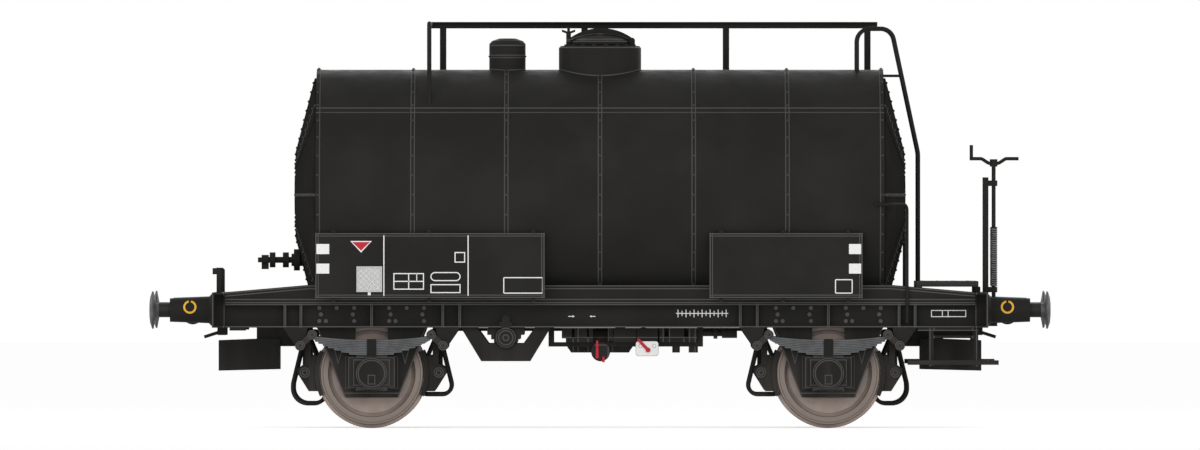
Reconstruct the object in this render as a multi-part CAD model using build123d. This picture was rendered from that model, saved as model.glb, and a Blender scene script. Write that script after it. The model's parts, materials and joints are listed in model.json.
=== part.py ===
from build123d import *
import os
from math import asin, cos, degrees, hypot, radians, sin, sqrt

# Four-wheeled railway tank car with an insulated tank, a platform with a hand brake at one end and
# name boards along both sides. Millimetres. X runs along the car, with the brake platform at +X,
# Y across it and Z up. The origin is under the middle of the car, level with the wheel flanges.

# Running gear
WHEELBASE = 4500.0
AXLE_TO_BUFFERS = 2190.0
TREAD_R = 510.0
FLANGE_HEIGHT = 30.0
FLANGE_WIDTH = 32.0
FLANGE_PROFILE = (
    # share of the width, share of the height
    (0.0, 0.7),
    (0.3, 1.0),
    (0.65, 0.85),
)
FLANGE_ROOT = 13.0
BACK_TO_BACK = 1360.0
RIM_WIDTH = 135.0
RIM_DEPTH = 78.0
RIM_STEP = 28.0
TREAD_TAPER = 5.0
WEB_DEPTH = 28.0
WEB_OFFSET = 45.0
HUB_R = 145.0
HUB_WIDTH = 180.0
WHEEL_SEAT_R = 92.0
AXLE_R = 76.0
JOURNAL_R = 60.0
JOURNAL_CENTRES = 1956.0
JOURNAL_LENGTH = 180.0
JOURNAL_CLEARANCE = 0.4

# Underframe
SOLE_BOTTOM = 992.0
SOLE_HEIGHT = 237.0
SOLE_WEB_Y = 905.0
SOLE_WEB = 10.0
SOLE_FLANGE = 100.0
SOLE_FLANGE_DEPTH = 18.0
RIB_WIDTH = 25.0
RIBS_FROM_AXLE = (-868.0, -701.0, 0.0, 696.0, 854.0)
PAD_X = (-3649.0, -3488.0)
PAD_DEPTH = 29.0
BUFFER_LENGTH = 621.0
HEADSTOCK_DEPTH = 124.0
HEADSTOCK_HEIGHT = 346.0
HEADSTOCK_WIDTH = 2480.0
HEADSTOCK_PLATE = 22.0
BEARER_OFFSET = 660.0
BEARER_WIDTH = 100.0
SADDLE_TOP = 1400.0
LIGHT_BEARER_PLACES = (-480.0, 250.0, 985.0)
LIGHT_BEARER_WIDTH = 60.0
LIGHT_BEARER_HEIGHT = 50.0
SILL_Y = 130.0
SILL_WIDTH = 50.0

# Cradle beams that carry the tank along the sole bars
CRADLE_HEIGHT = 182.0
CRADLE_FLAT_EXTRA = 60.0
CRADLE_FLANGE = 35.0
CRADLE_FLANGE_WIDTH = 75.0
CRADLE_WEB = 15.0
CRADLE_BASE = 12.0
CRADLE_LIP = 8.0
CRADLE_LIP_HEIGHT = 50.0
SEATS_FROM_AXLE = (-660.0, 150.0)
SEAT_LENGTH = 120.0
SEAT_EDGE = 23.0

# Tank
TANK_R = 1240.0
TANK_BOTTOM_Z = 1060.0
BARREL_PAST_AXLE = 550.0
BAND_COUNT = 5
BAND_PITCH = 922.5
BAND_WIDTH = 36.0
BAND_PROUD = 8.0
RIM_BAND_WIDTH = 40.0
RIM_BAND_PROUD = 10.0
SEAM_ANGLE = 42.3
SEAM_WIDTH = 60.0
SEAM_PROUD = 6.0
END_SETBACK = 85.0
END_RIM = 15.0
END_DEPTH = 205.0
END_FLAT_R = 420.0
STRAP_ANGLES = (0.0, 50.0, 90.0, 130.0, 180.0, 230.0, 270.0, 310.0)
STRAP_WIDTH = 46.0
STRAP_PROUD = 8.0
STRAP_SUNK = 5.0
END_CAP_R = 200.0

# Manhole dome and its lid
DOME_R = 407.0
DOME_WALL = 15.0
DOME_HEIGHT = 235.0
DOME_PLATE = 14.0
DOME_EDGE = 20.0
MANHOLE_R = 235.0
COAMING = 25.0
COAMING_HEIGHT = 13.0
TANK_BORE_R = 300.0
TANK_BORE_DEPTH = 590.0
LID_R = 280.0
LID_RIM = 30.0
LID_SHOULDER = 42.0
LID_SHOULDER_R = 205.0
LID_CROWN = 62.0
LID_CROWN_R = 95.0
HINGE_X = 318.0
HINGE_RISE = 53.0
HINGE_PIN_R = 14.0
HINGE_CLEARANCE = 0.3
KNUCKLE_R = 28.0
KNUCKLE_WIDTH = 60.0
HINGE_LUG = 18.0
HINGE_LUG_GAP = 6.0
STRONGBACK_WIDTH = 44.0
STRONGBACK_RISE = 177.0
STRONGBACK_DEPTH = 58.0
STRONGBACK_TIP = 26.0
CLAMP_X = -311.0
CLAMP_R = 14.0
CLAMP_RISE = 189.0
CLAMP_EYE_R = 24.0
CLAMP_EYE_RISE = 31.0
WING_RISE = 139.0
WING_SPAN = 132.0
WING_THICKNESS = 12.0
CLAMP_LUG = 12.0
CLAMP_LUG_GAP = 8.0
CLAMP_LUG_LENGTH = 50.0
CLAMP_LUG_HEIGHT = 42.0

# Vent dome
VENT_X = -916.0
VENT_R = 180.0
VENT_BAND_RISE = 131.0
VENT_CROWN = (
    # height above the tank's top, radius
    (254.0, 180.0),
    (284.0, 153.0),
    (309.0, 81.0),
)
VENT_BAND_PROUD = 8.0
VENT_BAND_HEIGHT = 14.0

# Heating pipe at the plain end: distance from the end's face, radius of each stretch
HEATING_Z = 1658.0
HEATING_ROOT_R = 62.0
HEATING_PIPE_R = 30.0
HEATING_FLANGE_R = 75.0
HEATING_STRETCHES = (
    # start, end, radius
    (-60.0, 12.0, HEATING_ROOT_R),
    (3.0, 62.0, 106.0),
    (62.0, 86.0, HEATING_ROOT_R),
    (62.0, 418.0, HEATING_PIPE_R - 5.0),
    (62.0, 382.0, HEATING_PIPE_R),
    (112.0, 171.0, HEATING_FLANGE_R),
    (245.0, 301.0, HEATING_FLANGE_R),
    (311.0, 382.0, 50.0),
)
HEATING_LUG = (311.0, 382.0)
HEATING_LUG_DROP = 92.0
HEATING_LUG_WIDTH = 40.0

# Outlet pipe across the car, with a cap on both sides, and its guards
OUTLET_X = -928.0
OUTLET_Z = 893.0
OUTLET_PIPE_R = 55.0
OUTLET_CAP_R = 98.0
OUTLET_CAP_Y = 955.0
OUTLET_CAP_LENGTH = 56.0
OUTLET_VALVE_R = 90.0
OUTLET_NUT_R = 28.0
OUTLET_NUT = 14.0
OUTLET_BODY = (
    # half width, bottom, top
    (183.0, 920.0, 988.0),
    (145.0, 876.0, 920.0),
    (117.0, 841.0, 876.0),
)
LATCH_WIDTH = 76.0
LATCH_TOP = 1115.0
LATCH_GAP = 2.0
LATCH_THICKNESS = 12.0
LATCH_YOKE = 124.0
LATCH_YOKE_Z = (1014.0, 1046.0)
GUARD_Y = 912.0
GUARD_DEPTH = 38.0
GUARD_BOTTOM = 661.0
GUARD_BAR = 171.0
GUARD_BOTTOM_WIDTH = 484.0
GUARD_TOP_WIDTH = 886.0
GUARD_INNER_BOTTOM = 340.0
GUARD_INNER_TOP = 571.0

# Walkway and handrail on the tank
RAIL_RISE = 480.0
RAIL_SIZE = 64.0
RAIL_THICKNESS = 8.0
POST_LEG = 50.0
RAIL_INSET = 405.0
RAIL_START = -1702.0
RAIL_END_INSET = 44.0
POST_COUNT = 4
POST_INSETS = (143.0, 99.0)
WALKWAY_DROP = 70.0
WALKWAY_PLANK = 30.0
WALKWAY_INSET = 800.0
PLANK_WIDTH = 172.0
PLANK_GAP = 10.0
PLANK_COUNT = 2
WALKWAY_BRACKET = 12.0
END_RAIL_X = -1683.0
END_RAIL_R = 22.0
END_RAIL_RISE = 450.0
END_RAIL_BEND = 90.0

# End ladder
LADDER_Y = 200.0
STILE_R = 21.0
LADDER_FOOT_GAP = 140.0
LADDER_KNEE_RISE = 415.0
LADDER_TOP_REACH = 83.0
LADDER_TOP_RISE = 405.0
LADDER_BACK_INSET = 259.0
LADDER_ARCH_BEND = 130.0
LADDER_KNEE_BEND = 300.0
STAY_DROP = 61.0
RUNG_R = 12.0
RUNG_FIRST_RISE = 300.0
RUNG_PITCH = 290.0
RUNG_COUNT = 7

# End platform
PLATFORM_TANK_GAP = 115.0
PLATFORM_OVERHANG = 33.0
PLATFORM_RISE = 57.0
PLATFORM_DEPTH = 55.0
PLATFORM_WIDTH = 1980.0
PLATFORM_GROOVES = 3
GROOVE_WIDTH = 8.0
GROOVE_DEPTH = 10.0
LEG_WIDTH = 54.0
LEG_PLACES = (-850.0, -300.0, 300.0, 850.0)

# Grab rails beside the platform
GRAB_R = 15.0
GRAB_START_INSET = 100.0
GRAB_TURN_REACH = 50.0
GRAB_DROP_REACH = 225.0
GRAB_FALL = 94.0
GRAB_FOOT_Z = 1056.0
GRAB_TANK_GAP = 14.0
GRAB_DROP_Y = 1032.0
GRAB_BEND = 60.0
GRAB_FOOT = 40.0

# Hand brake
BRAKE_POST_Y = -400.0
BRAKE_POST_WIDTH = 100.0
BRAKE_POST_FRONT = 17.0
BRAKE_POST_BACK = 40.0
BRAKE_POST_WALL = 8.0
BRAKE_POST_TOP = 2474.0
SPINDLE_REACH = 69.0
SPINDLE_R = 20.0
SPINDLE_TOP = 2653.0
SLEEVE_R = 32.0
SLEEVE_Z = (1398.0, 1984.0)
BEARING_R = 37.0
BEARING_LEVELS = (1004.0, 1338.0, 2388.0)
BEARING_HEIGHT = 55.0
SPINDLE_CLEARANCE = 0.3
CRANK_HUB_R = 38.0
CRANK_HUB_HEIGHT = 73.0
CRANK_Z = 2658.0
CRANK_DIP = 45.0
CRANK_R = 17.0
CRANK_ARMS = (237.0, 247.0)
CRANK_SHOULDER = 118.0
CRANK_NECK = 50.0
CRANK_BEND = 45.0
CRANK_HANDLE_TOP = 2793.0

# Name boards: start and end along X on the near side, and where their brackets stand
BOARD_BOTTOM = 1283.0
BOARD_TOP = 1925.0
BOARD_INSET = 24.0
BOARD_PLATE = 10.0
BOARD_EDGE = 22.0
BOARD_EDGE_PROUD = 8.0
BOARDS = (
    # start, end, bracket places
    (-2803.0, -543.0, (-2625.0, -1682.0, -656.0)),
    (1076.0, 2585.0, (1194.0, 1800.0, 2442.0)),
)
BRACKET_WIDTH = 44.0
BRACKET_THICKNESS = 12.0
BRACKET_TOP = 1958.0
BRACKET_ARM_Z = 1243.0
CARD_X = -2270.0
CARD_Z = 1470.0
CARD_SIZE = 252.0
CARD_DEPTH = 14.0
CARD_EDGE = 14.0
CARD_RECESS = 6.0

# Axle guards and axle boxes
GUARD_PLATE = 12.0
GUARD_HALF_TOP = 541.0
GUARD_HALF_BOTTOM = 265.0
GUARD_LOW_Z = 303.0
GUARD_HIGH_Z = 1195.0
GUARD_TIE = 64.0
HORN_HALF = 158.0
GUARD_RIBS = (278.0, 342.0, 396.0)
GUARD_RIB = 14.0
GUARD_RIB_LOW = 900.0
GUSSET_X = 329.0
GUSSET_HALF = 41.0
GUSSET_Z = (635.0, 792.0)
BOX_HALF = 150.0
BOX_LOW_Z = 370.0
BOX_BACK = 870.0
BOX_FRONT = 1000.0
BOX_COVER_R = 153.0
BOX_COVER_END = 1085.0
BOX_COVER_EDGE = 20.0
BOX_FLANGE_GAP = 3.0
BOX_STEPS = (
    # half width, bottom, top, front
    (259.0, 388.0, 709.0, 926.0),
    (227.0, 404.0, 698.0, 1006.0),
    (177.0, 425.0, 675.0, 1036.0),
)
BOX_PLATE = (66.0, 86.0, 8.0)
BOX_PLATE_DROP = 60.0

# Leaf springs, shackles and brackets
SPRING_WIDTH = 100.0
LEAF_DEPTH = 16.5
LEAF_HALF_LENGTHS = (585.0, 580.0, 560.0, 525.0, 480.0, 430.0, 370.0, 300.0, 220.0)
SPRING_SEAT_Z = 711.0
SPRING_EYE_Z = 923.0
EYE_R = 32.0
PIN_R = 18.0
PIN_HEAD_R = 26.0
PIN_CLEARANCE = 0.3
BUCKLE_WIDTH = 90.0
BUCKLE_WALL = 10.0
BUCKLE_TOP = 880.0
SHACKLE_PIN_OFFSET = 704.0
SHACKLE_PIN_Z = 814.0
SHACKLE_R = 30.0
SHACKLE_EYE_R = 46.0
SHACKLE_PLATE = 12.0
SHACKLE_PIN_HEAD = 14.0
SHACKLE_GAP = 2.0
BRACKET_BOSS_R = 50.0
BRACKET_NECK = 45.0
BRACKET_CASTING = 66.0
BRACKET_TOP_INNER = 632.0
BRACKET_TOP_OUTER = 872.0

# Clasp brakes
BLOCK_CLEARANCE = 8.0
BLOCK_DEPTH = 42.0
BLOCK_ANGLE = 24.0
BLOCK_WIDTH = 86.0
BLOCK_Y = 765.0
HOLDER_WIDTH = 50.0
HOLDER_HALF = 176.0
BEAM_OFFSET = 664.0
BEAM_R = 32.0
HOLDER_BOSS_R = 46.0
HOLDER_NECK = 69.0
HOLDER_FOOT = 90.0
HOLDER_BOSS = 16.0
HANGER_OFFSET = 630.0
HANGER_PIN_Z = 652.0
HANGER_PIN_R = 14.0
HANGER_WIDTH = 60.0
HANGER_THICKNESS = 12.0
LOOP_Y = 450.0
LOOP_R = 20.0
LOOP_OUTER = ((695.0, 800.0), (782.0, 440.0))
LOOP_FEET = (790.0, 470.0)
LOOP_INNER = ((450.0, 480.0), (628.0, 900.0))
LOOPS = (
    # side of the wheel, lowest height, bend below the outer leg, bend below the inner leg
    (1, 240.0, 150.0, 110.0),
    (-1, 330.0, 90.0, 90.0),
)
LOOP_OUTER_BENDS = (200.0, 100.0)
LOOP_INNER_BENDS = (120.0, 200.0)
LEVER_Y = 120.0
LEVER_WIDTH = 60.0
LEVER_THICKNESS = 24.0
LEVER_EYE_R = 54.0
LEVER_LOW_OFFSET = 575.0
LEVER_LOW_Z = 375.0
LEVER_SHOULDER_Z = 435.0
LEVER_TOP_Z = 988.0
TIE_Z = 405.0
PULL_Z = 969.0
ROD_R = 16.0
CYLINDER_Y = 250.0
CYLINDER_Z = 862.0
CYLINDER_R = 118.0
CYLINDER_ENDS = (-320.0, 250.0)
CROSS_LEVER_X = 430.0
CROSS_LEVER_THICKNESS = 40.0

# Brake gear on its carrier under the near sole bar
CARRIER_Y = (-762.0, -722.0)
CARRIER_ENDS = (-508.0, 1016.0)
CARRIER_BOTTOM = 804.0
CARRIER_BAR = 44.0
CARRIER_LEG = 57.0
RESERVOIR_ENDS = (-325.0, 325.0)
RESERVOIR_R = 122.0
RESERVOIR_Y = -594.0
RESERVOIR_Z = 866.0
RESERVOIR_DISH = 40.0
RESERVOIR_END_R = 62.0
RESERVOIR_STRAPS = (-215.0, 215.0)
RESERVOIR_STRAP = 36.0
DISTRIBUTOR_X = 6.0
DISTRIBUTOR_Z = 752.0
DISTRIBUTOR_R = 93.0
DISTRIBUTOR_DEPTH = 98.0
VALVES = (
    # start, end, bottom, top, reach before the carrier, for each body standing on it
    (
        (-377.0, -275.0, 885.0, 987.0, 98.0),
        (-252.0, -128.0, 897.0, 987.0, 98.0),
        (-110.0, -69.0, 897.0, 987.0, 84.0),
        (-337.0, -69.0, 848.0, 897.0, 76.0),
    ),
    (
        (80.0, 122.0, 860.0, 987.0, 70.0),
        (133.0, 354.0, 848.0, 987.0, 98.0),
        (360.0, 570.0, 866.0, 987.0, 90.0),
        (80.0, 570.0, 866.0, 900.0, 60.0),
    ),
    (
        (586.0, 637.0, 863.0, 987.0, 84.0),
        (677.0, 824.0, 890.0, 987.0, 98.0),
        (870.0, 955.0, 848.0, 987.0, 90.0),
        (586.0, 955.0, 848.0, 902.0, 72.0),
    ),
)
PLATE_X = (351.0, 577.0)
PLATE_Z = (711.0, 859.0)
PLATE_STAND_OFF = 112.0
PLATE_THICKNESS = 6.0
PLATE_CORNER = 28.0
DRAIN_CUPS = (
    # place along the car, radius
    (750.0, 38.0),
    (920.0, 46.0),
)
DRAIN_CUP_BOTTOM = 745.0
ADJUSTER_Z = 934.0
ADJUSTER_DISC = (1119.0, 1158.0)
ADJUSTER_DISC_R = 53.0
ADJUSTER_R = 28.0
ADJUSTER_BODY_R = 46.0
ADJUSTER_LENGTH = 336.0
ADJUSTER_BODY_LENGTH = 150.0

HAND_LEVERS = (
    # middle, bottom, top, width at the bottom, width at the top
    (-28.0, 690.0, 863.0, 32.0, 20.0),
    (34.0, 650.0, 706.0, 28.0, 20.0),
)
HAND_LEVER = 12.0
SELECTOR_PIVOT = (473.0, 772.0)
SELECTOR_TIP = (371.0, 880.0)
SELECTOR_WIDTH = 30.0
SELECTOR_HUB_R = 24.0

# Buffers and draw hooks
BUFFER_Z = 1165.0
BUFFER_Y = 875.0
BUFFER_HEAD_R = 185.0
BUFFER_HEAD_DEPTH = 62.0
BUFFER_HEAD_BACK = 21.0
BUFFER_HEAD_RIM = 14.0
BUFFER_HEAD_CROWN = 7.0
BUFFER_HEAD_FLAT_R = 70.0
PLUNGER_R = 71.5
PLUNGER_CLEARANCE = 0.5
HOUSING_LENGTH = 419.0
HOUSING_FRONT_R = 116.0
HOUSING_BACK_R = 130.0
HOUSING_FLANGE_R = 168.0
HOUSING_FLANGE = 36.0
HOUSING_BORE_DEPTH = 330.0
PLUNGER_HELD = 280.0
HOOK_Y = 28.0
HOOK_REACH = 212.0
HOOK_R = 102.0
HOOK_DROP = 44.0
HOOK_THROAT_R = 46.0
HOOK_SHANK_HEIGHT = 76.0
HOOK_TAIL = 170.0
HOOK_HOLE_GAP = 0.3

# End boxes under both ends
END_BOX_SETBACKS = (656.0, 49.0)
END_BOX_Z = (563.0, 878.0)
END_BOX_HALF = 250.0
END_BOX_TAPER = 30.0
END_HANGER_SETBACKS = (819.0, 425.0)
END_HANGER_LOW_Z = 804.0
END_HANGER_HALF = 190.0

# Steps beside the platform
STEP_SETBACKS = (790.0, -104.0)
STEP_Z = 627.0
STEP_DEPTH = 44.0
STEP_WIDTH = 230.0
STEP_HANGER_SETBACKS = (557.0, 116.0)
STEP_HANGER_WIDTH = 46.0
STEP_HANGER_THICKNESS = 14.0
STEP_HANGER_Y = 988.0
STEP_FLAT_SETBACKS = (689.0, 129.0)
STEP_FLAT_Z = 958.0
STEP_TIE_Z = 888.0
STEP_TIE_HEIGHT = 26.0

# Brake pipe cocks and lamp irons
COCK_Y = 350.0
COCK_SETBACKS = (128.0, 39.0)
COCK_WIDTH = 70.0
COCK_BOTTOM = 915.0
COCK_PIPE_R = 16.0
COCK_PIPE_REACH = 130.0
COCK_PIPE_DROP = 56.0
LAMP_Y = 1000.0
LAMP_SETBACK = 42.0
LAMP_WIDTH = 47.0
LAMP_THICKNESS = 12.0
LAMP_TOP = 1579.0
LAMP_CORNER = 20.0
LAMP_ARM = 39.0
LAMP_END = 62.0

# Places worked out from the sizes above
AXLE_Z = TREAD_R + FLANGE_HEIGHT
AXLE_X = WHEELBASE / 2
WHEEL_BACK = BACK_TO_BACK / 2
WHEEL_FACE = WHEEL_BACK + RIM_WIDTH
JOURNAL_Y = JOURNAL_CENTRES / 2
SOLE_TOP = SOLE_BOTTOM + SOLE_HEIGHT
SOLE_OUTER = SOLE_WEB_Y + SOLE_FLANGE
LENGTH_OVER_BUFFERS = WHEELBASE + 2 * AXLE_TO_BUFFERS
HEADSTOCK_FACE = LENGTH_OVER_BUFFERS / 2 - BUFFER_LENGTH
HEADSTOCK_BACK = HEADSTOCK_FACE - HEADSTOCK_DEPTH
HEADSTOCK_TOP = SOLE_BOTTOM + HEADSTOCK_HEIGHT
CRADLE_TOP = SOLE_TOP + CRADLE_HEIGHT
SPRING_Y = JOURNAL_Y
BARREL_HALF = AXLE_X + BARREL_PAST_AXLE
BARREL_LENGTH = 2 * BARREL_HALF
CRADLE_FLAT = BARREL_HALF + CRADLE_FLAT_EXTRA
END_FACE = BARREL_HALF + END_DEPTH
END_R = TANK_R - END_SETBACK
TANK_AXIS_Z = TANK_BOTTOM_Z + TANK_R
TANK_TOP = TANK_AXIS_Z + TANK_R
DOME_TOP = TANK_TOP + DOME_HEIGHT
HINGE_Z = DOME_TOP + HINGE_RISE
STRONGBACK_TOP = DOME_TOP + STRONGBACK_RISE
CLAMP_TOP = DOME_TOP + CLAMP_RISE
CLAMP_EYE_Z = DOME_TOP + CLAMP_EYE_RISE
WING_Z = DOME_TOP + WING_RISE
BOARD_Y = TANK_R - BOARD_INSET
RAIL_TOP = TANK_TOP + RAIL_RISE
RAIL_Y = TANK_R - RAIL_INSET
RAIL_END = BARREL_HALF - RAIL_END_INSET
POST_RUN = (RAIL_START + POST_INSETS[0], RAIL_END - POST_INSETS[1])
POST_PITCH = (POST_RUN[1] - POST_RUN[0]) / (POST_COUNT - 1)
POST_PLACES = [POST_RUN[0] + number * POST_PITCH for number in range(POST_COUNT)]
WALKWAY_Z = TANK_TOP - WALKWAY_DROP
WALKWAY_INNER = TANK_R - WALKWAY_INSET
END_RAIL_Z = TANK_TOP + END_RAIL_RISE
PLATFORM_START = END_FACE + PLATFORM_TANK_GAP
PLATFORM_END = HEADSTOCK_BACK + PLATFORM_OVERHANG
PLATFORM_Z = HEADSTOCK_TOP + PLATFORM_RISE
LADDER_FOOT_X = END_FACE + LADDER_FOOT_GAP
LADDER_KNEE_Z = TANK_AXIS_Z + LADDER_KNEE_RISE
LADDER_TOP_X = BARREL_HALF + LADDER_TOP_REACH
LADDER_TOP_Z = TANK_TOP + LADDER_TOP_RISE
LADDER_BACK_X = BARREL_HALF - LADDER_BACK_INSET
STAY_Z = TANK_TOP - STAY_DROP
RUNG_FIRST_Z = PLATFORM_Z + PLATFORM_DEPTH + RUNG_FIRST_RISE
GRAB_START = BARREL_HALF - GRAB_START_INSET
GRAB_TURN = BARREL_HALF + GRAB_TURN_REACH
GRAB_DROP = BARREL_HALF + GRAB_DROP_REACH
GRAB_Z = TANK_AXIS_Z - GRAB_FALL
SPINDLE_X = HEADSTOCK_FACE + SPINDLE_REACH
CRANK_ENDS = (SPINDLE_X - CRANK_ARMS[0], SPINDLE_X + CRANK_ARMS[1])
END_BOX_X = [HEADSTOCK_FACE - setback for setback in END_BOX_SETBACKS]
END_HANGER_X = [HEADSTOCK_FACE - setback for setback in END_HANGER_SETBACKS]
STEP_X = [HEADSTOCK_FACE - setback for setback in STEP_SETBACKS]
STEP_HANGERS = [HEADSTOCK_FACE - setback for setback in STEP_HANGER_SETBACKS]
STEP_FLAT_X = [HEADSTOCK_FACE - setback for setback in STEP_FLAT_SETBACKS]
COCK_X = [HEADSTOCK_FACE - setback for setback in COCK_SETBACKS]


def block(x, y, z):
    """Box between the low and high ends given along X, Y and Z."""
    centre = [(low + high) / 2 for low, high in (x, y, z)]
    size = [abs(high - low) for low, high in (x, y, z)]
    return Pos(*centre) * Box(*size)


def span(middle, width):
    """Low and high ends of a width set about its middle."""
    return middle - width / 2, middle + width / 2


def side_plate(outline, y):
    """Outline drawn in X and Z, given thickness between two places along Y."""
    low, high = sorted(y)
    plane = Plane((0, high, 0), x_dir=(1, 0, 0), z_dir=(0, -1, 0))
    return plane * extrude(outline, high - low, dir=(0, 0, 1))


def end_plate(outline, x):
    """Outline drawn in Y and Z, given thickness between two places along X."""
    low, high = sorted(x)
    plane = Plane((low, 0, 0), x_dir=(0, 1, 0), z_dir=(1, 0, 0))
    return plane * extrude(outline, high - low, dir=(0, 0, 1))


def polygon(*points):
    return Polygon(*points, align=None)


def turned(*points):
    """Solid turned about the X axis from points of (place along X, radius)."""
    return revolve(polygon(*points), Axis.X)


def along_y(solid):
    return Rot(0, 0, 90) * solid


def along_z(solid):
    return Rot(0, -90, 0) * solid


def bar(start, end, radius):
    """Round bar from one point to another."""
    axis = Vector(*end) - Vector(*start)
    round_bar = Cylinder(radius, axis.length, align=(Align.CENTER, Align.CENTER, Align.MIN))
    return Plane(origin=start, z_dir=axis) * round_bar


def bent_bar(points, radius, bends):
    """Round bar along straight runs joined by arcs."""
    path = FilletPolyline(*points, radius=bends)
    return sweep(Plane(path @ 0, z_dir=path % 0) * Circle(radius), path)


def both_sides(*solids):
    return [side for solid in solids for side in (solid, mirror(solid, about=Plane.XZ))]


def both_ends(*solids):
    return [end for solid in solids for end in (solid, mirror(solid, about=Plane.YZ))]


def all_corners(*solids):
    return both_ends(*both_sides(*solids))


def turned_about(*solids):
    """Each solid on the near side, and again on the far side turned half round."""
    return [turn for solid in solids for turn in (solid, Rot(0, 0, 180) * solid)]


def tank_form(radius=TANK_R):
    """Cylinder of the tank, used to shape what is seated on it."""
    return Pos(0, 0, TANK_AXIS_Z) * Rot(0, 90, 0) * Cylinder(radius, BARREL_LENGTH)


def tank_circle():
    """Tank's outline in Y and Z."""
    return Pos(0, TANK_AXIS_Z) * Circle(TANK_R)


def cradle_top(x):
    """Height of the cradle beam's top at a place along the car."""
    if abs(x) <= CRADLE_FLAT:
        return CRADLE_TOP
    share = (abs(x) - CRADLE_FLAT) / (HEADSTOCK_BACK - CRADLE_FLAT)
    return CRADLE_TOP + share * (HEADSTOCK_TOP - CRADLE_TOP)


# Underframe

def sole_bars():
    """Channels along both sides, open outwards, with ribs across the channel and a jacking pad below."""
    lip = SOLE_WEB_Y + SOLE_WEB
    section = polygon(
        (SOLE_WEB_Y, SOLE_BOTTOM),
        (SOLE_OUTER, SOLE_BOTTOM),
        (SOLE_OUTER, SOLE_BOTTOM + SOLE_FLANGE_DEPTH),
        (lip, SOLE_BOTTOM + SOLE_FLANGE_DEPTH),
        (lip, SOLE_TOP - SOLE_FLANGE_DEPTH),
        (SOLE_OUTER, SOLE_TOP - SOLE_FLANGE_DEPTH),
        (SOLE_OUTER, SOLE_TOP),
        (SOLE_WEB_Y, SOLE_TOP),
    )
    channel = end_plate(section, (-HEADSTOCK_BACK, HEADSTOCK_BACK))
    inside = (SOLE_BOTTOM + SOLE_FLANGE_DEPTH, SOLE_TOP - SOLE_FLANGE_DEPTH)
    for place in RIBS_FROM_AXLE:
        for x in (-AXLE_X - place, AXLE_X + place):
            channel += block(span(x, RIB_WIDTH), (lip, SOLE_OUTER - SOLE_WEB), inside)
    channel += block(PAD_X, (SOLE_WEB_Y, SOLE_OUTER), (SOLE_BOTTOM - PAD_DEPTH, SOLE_BOTTOM))
    return both_sides(channel)


def hook_hole(gap):
    """Hole in the headstock for the draw hook's shank."""
    half_height = HOOK_SHANK_HEIGHT / 2 + gap
    height = (BUFFER_Z - half_height, BUFFER_Z + half_height)
    return block((HEADSTOCK_BACK, HEADSTOCK_FACE), (-HOOK_Y - gap, HOOK_Y + gap), height)


def headstocks():
    """Pressed channel across each end, its plate outwards, with gussets behind the sole bars."""
    plate_back = HEADSTOCK_FACE - HEADSTOCK_PLATE
    low = SOLE_BOTTOM + SOLE_FLANGE_DEPTH
    high = HEADSTOCK_TOP - SOLE_FLANGE_DEPTH
    section = polygon(
        (HEADSTOCK_BACK, SOLE_BOTTOM),
        (HEADSTOCK_FACE, SOLE_BOTTOM),
        (HEADSTOCK_FACE, HEADSTOCK_TOP),
        (HEADSTOCK_BACK, HEADSTOCK_TOP),
        (HEADSTOCK_BACK, high),
        (plate_back, high),
        (plate_back, low),
        (HEADSTOCK_BACK, low),
    )
    beam = side_plate(section, span(0, HEADSTOCK_WIDTH))
    for gusset_y in (SOLE_WEB_Y, SILL_Y):
        for side in (-1, 1):
            gusset = (side * gusset_y, side * (gusset_y + SILL_WIDTH))
            beam += block((HEADSTOCK_BACK, plate_back), gusset, (low, high))
    return both_ends(beam - hook_hole(HOOK_HOLE_GAP))


def cross_bearers():
    """Bearers beside the wheels, the inner ones shaped as saddles, and light ones between them."""
    width = (-SOLE_WEB_Y, SOLE_WEB_Y)
    saddle_outline = Rectangle(2 * SOLE_WEB_Y, SADDLE_TOP - SOLE_BOTTOM, align=(Align.CENTER, Align.MIN))
    saddle_outline = Pos(0, SOLE_BOTTOM) * saddle_outline - tank_circle()
    saddle = end_plate(saddle_outline, span(AXLE_X - BEARER_OFFSET, BEARER_WIDTH))
    bearer = block(span(AXLE_X + BEARER_OFFSET, BEARER_WIDTH), width, (SOLE_BOTTOM, SOLE_TOP))
    light_height = (SOLE_BOTTOM, SOLE_BOTTOM + LIGHT_BEARER_HEIGHT)
    light = [block(span(x, LIGHT_BEARER_WIDTH), width, light_height) for x in LIGHT_BEARER_PLACES]
    return both_ends(saddle, bearer) + light


def centre_sills():
    """Pair of sills behind each draw hook, from the outer bearer to the headstock."""
    start = AXLE_X + BEARER_OFFSET + BEARER_WIDTH / 2
    sill = block((start, HEADSTOCK_BACK), (SILL_Y, SILL_Y + SILL_WIDTH), (SOLE_BOTTOM, SOLE_TOP))
    return all_corners(sill)


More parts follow.
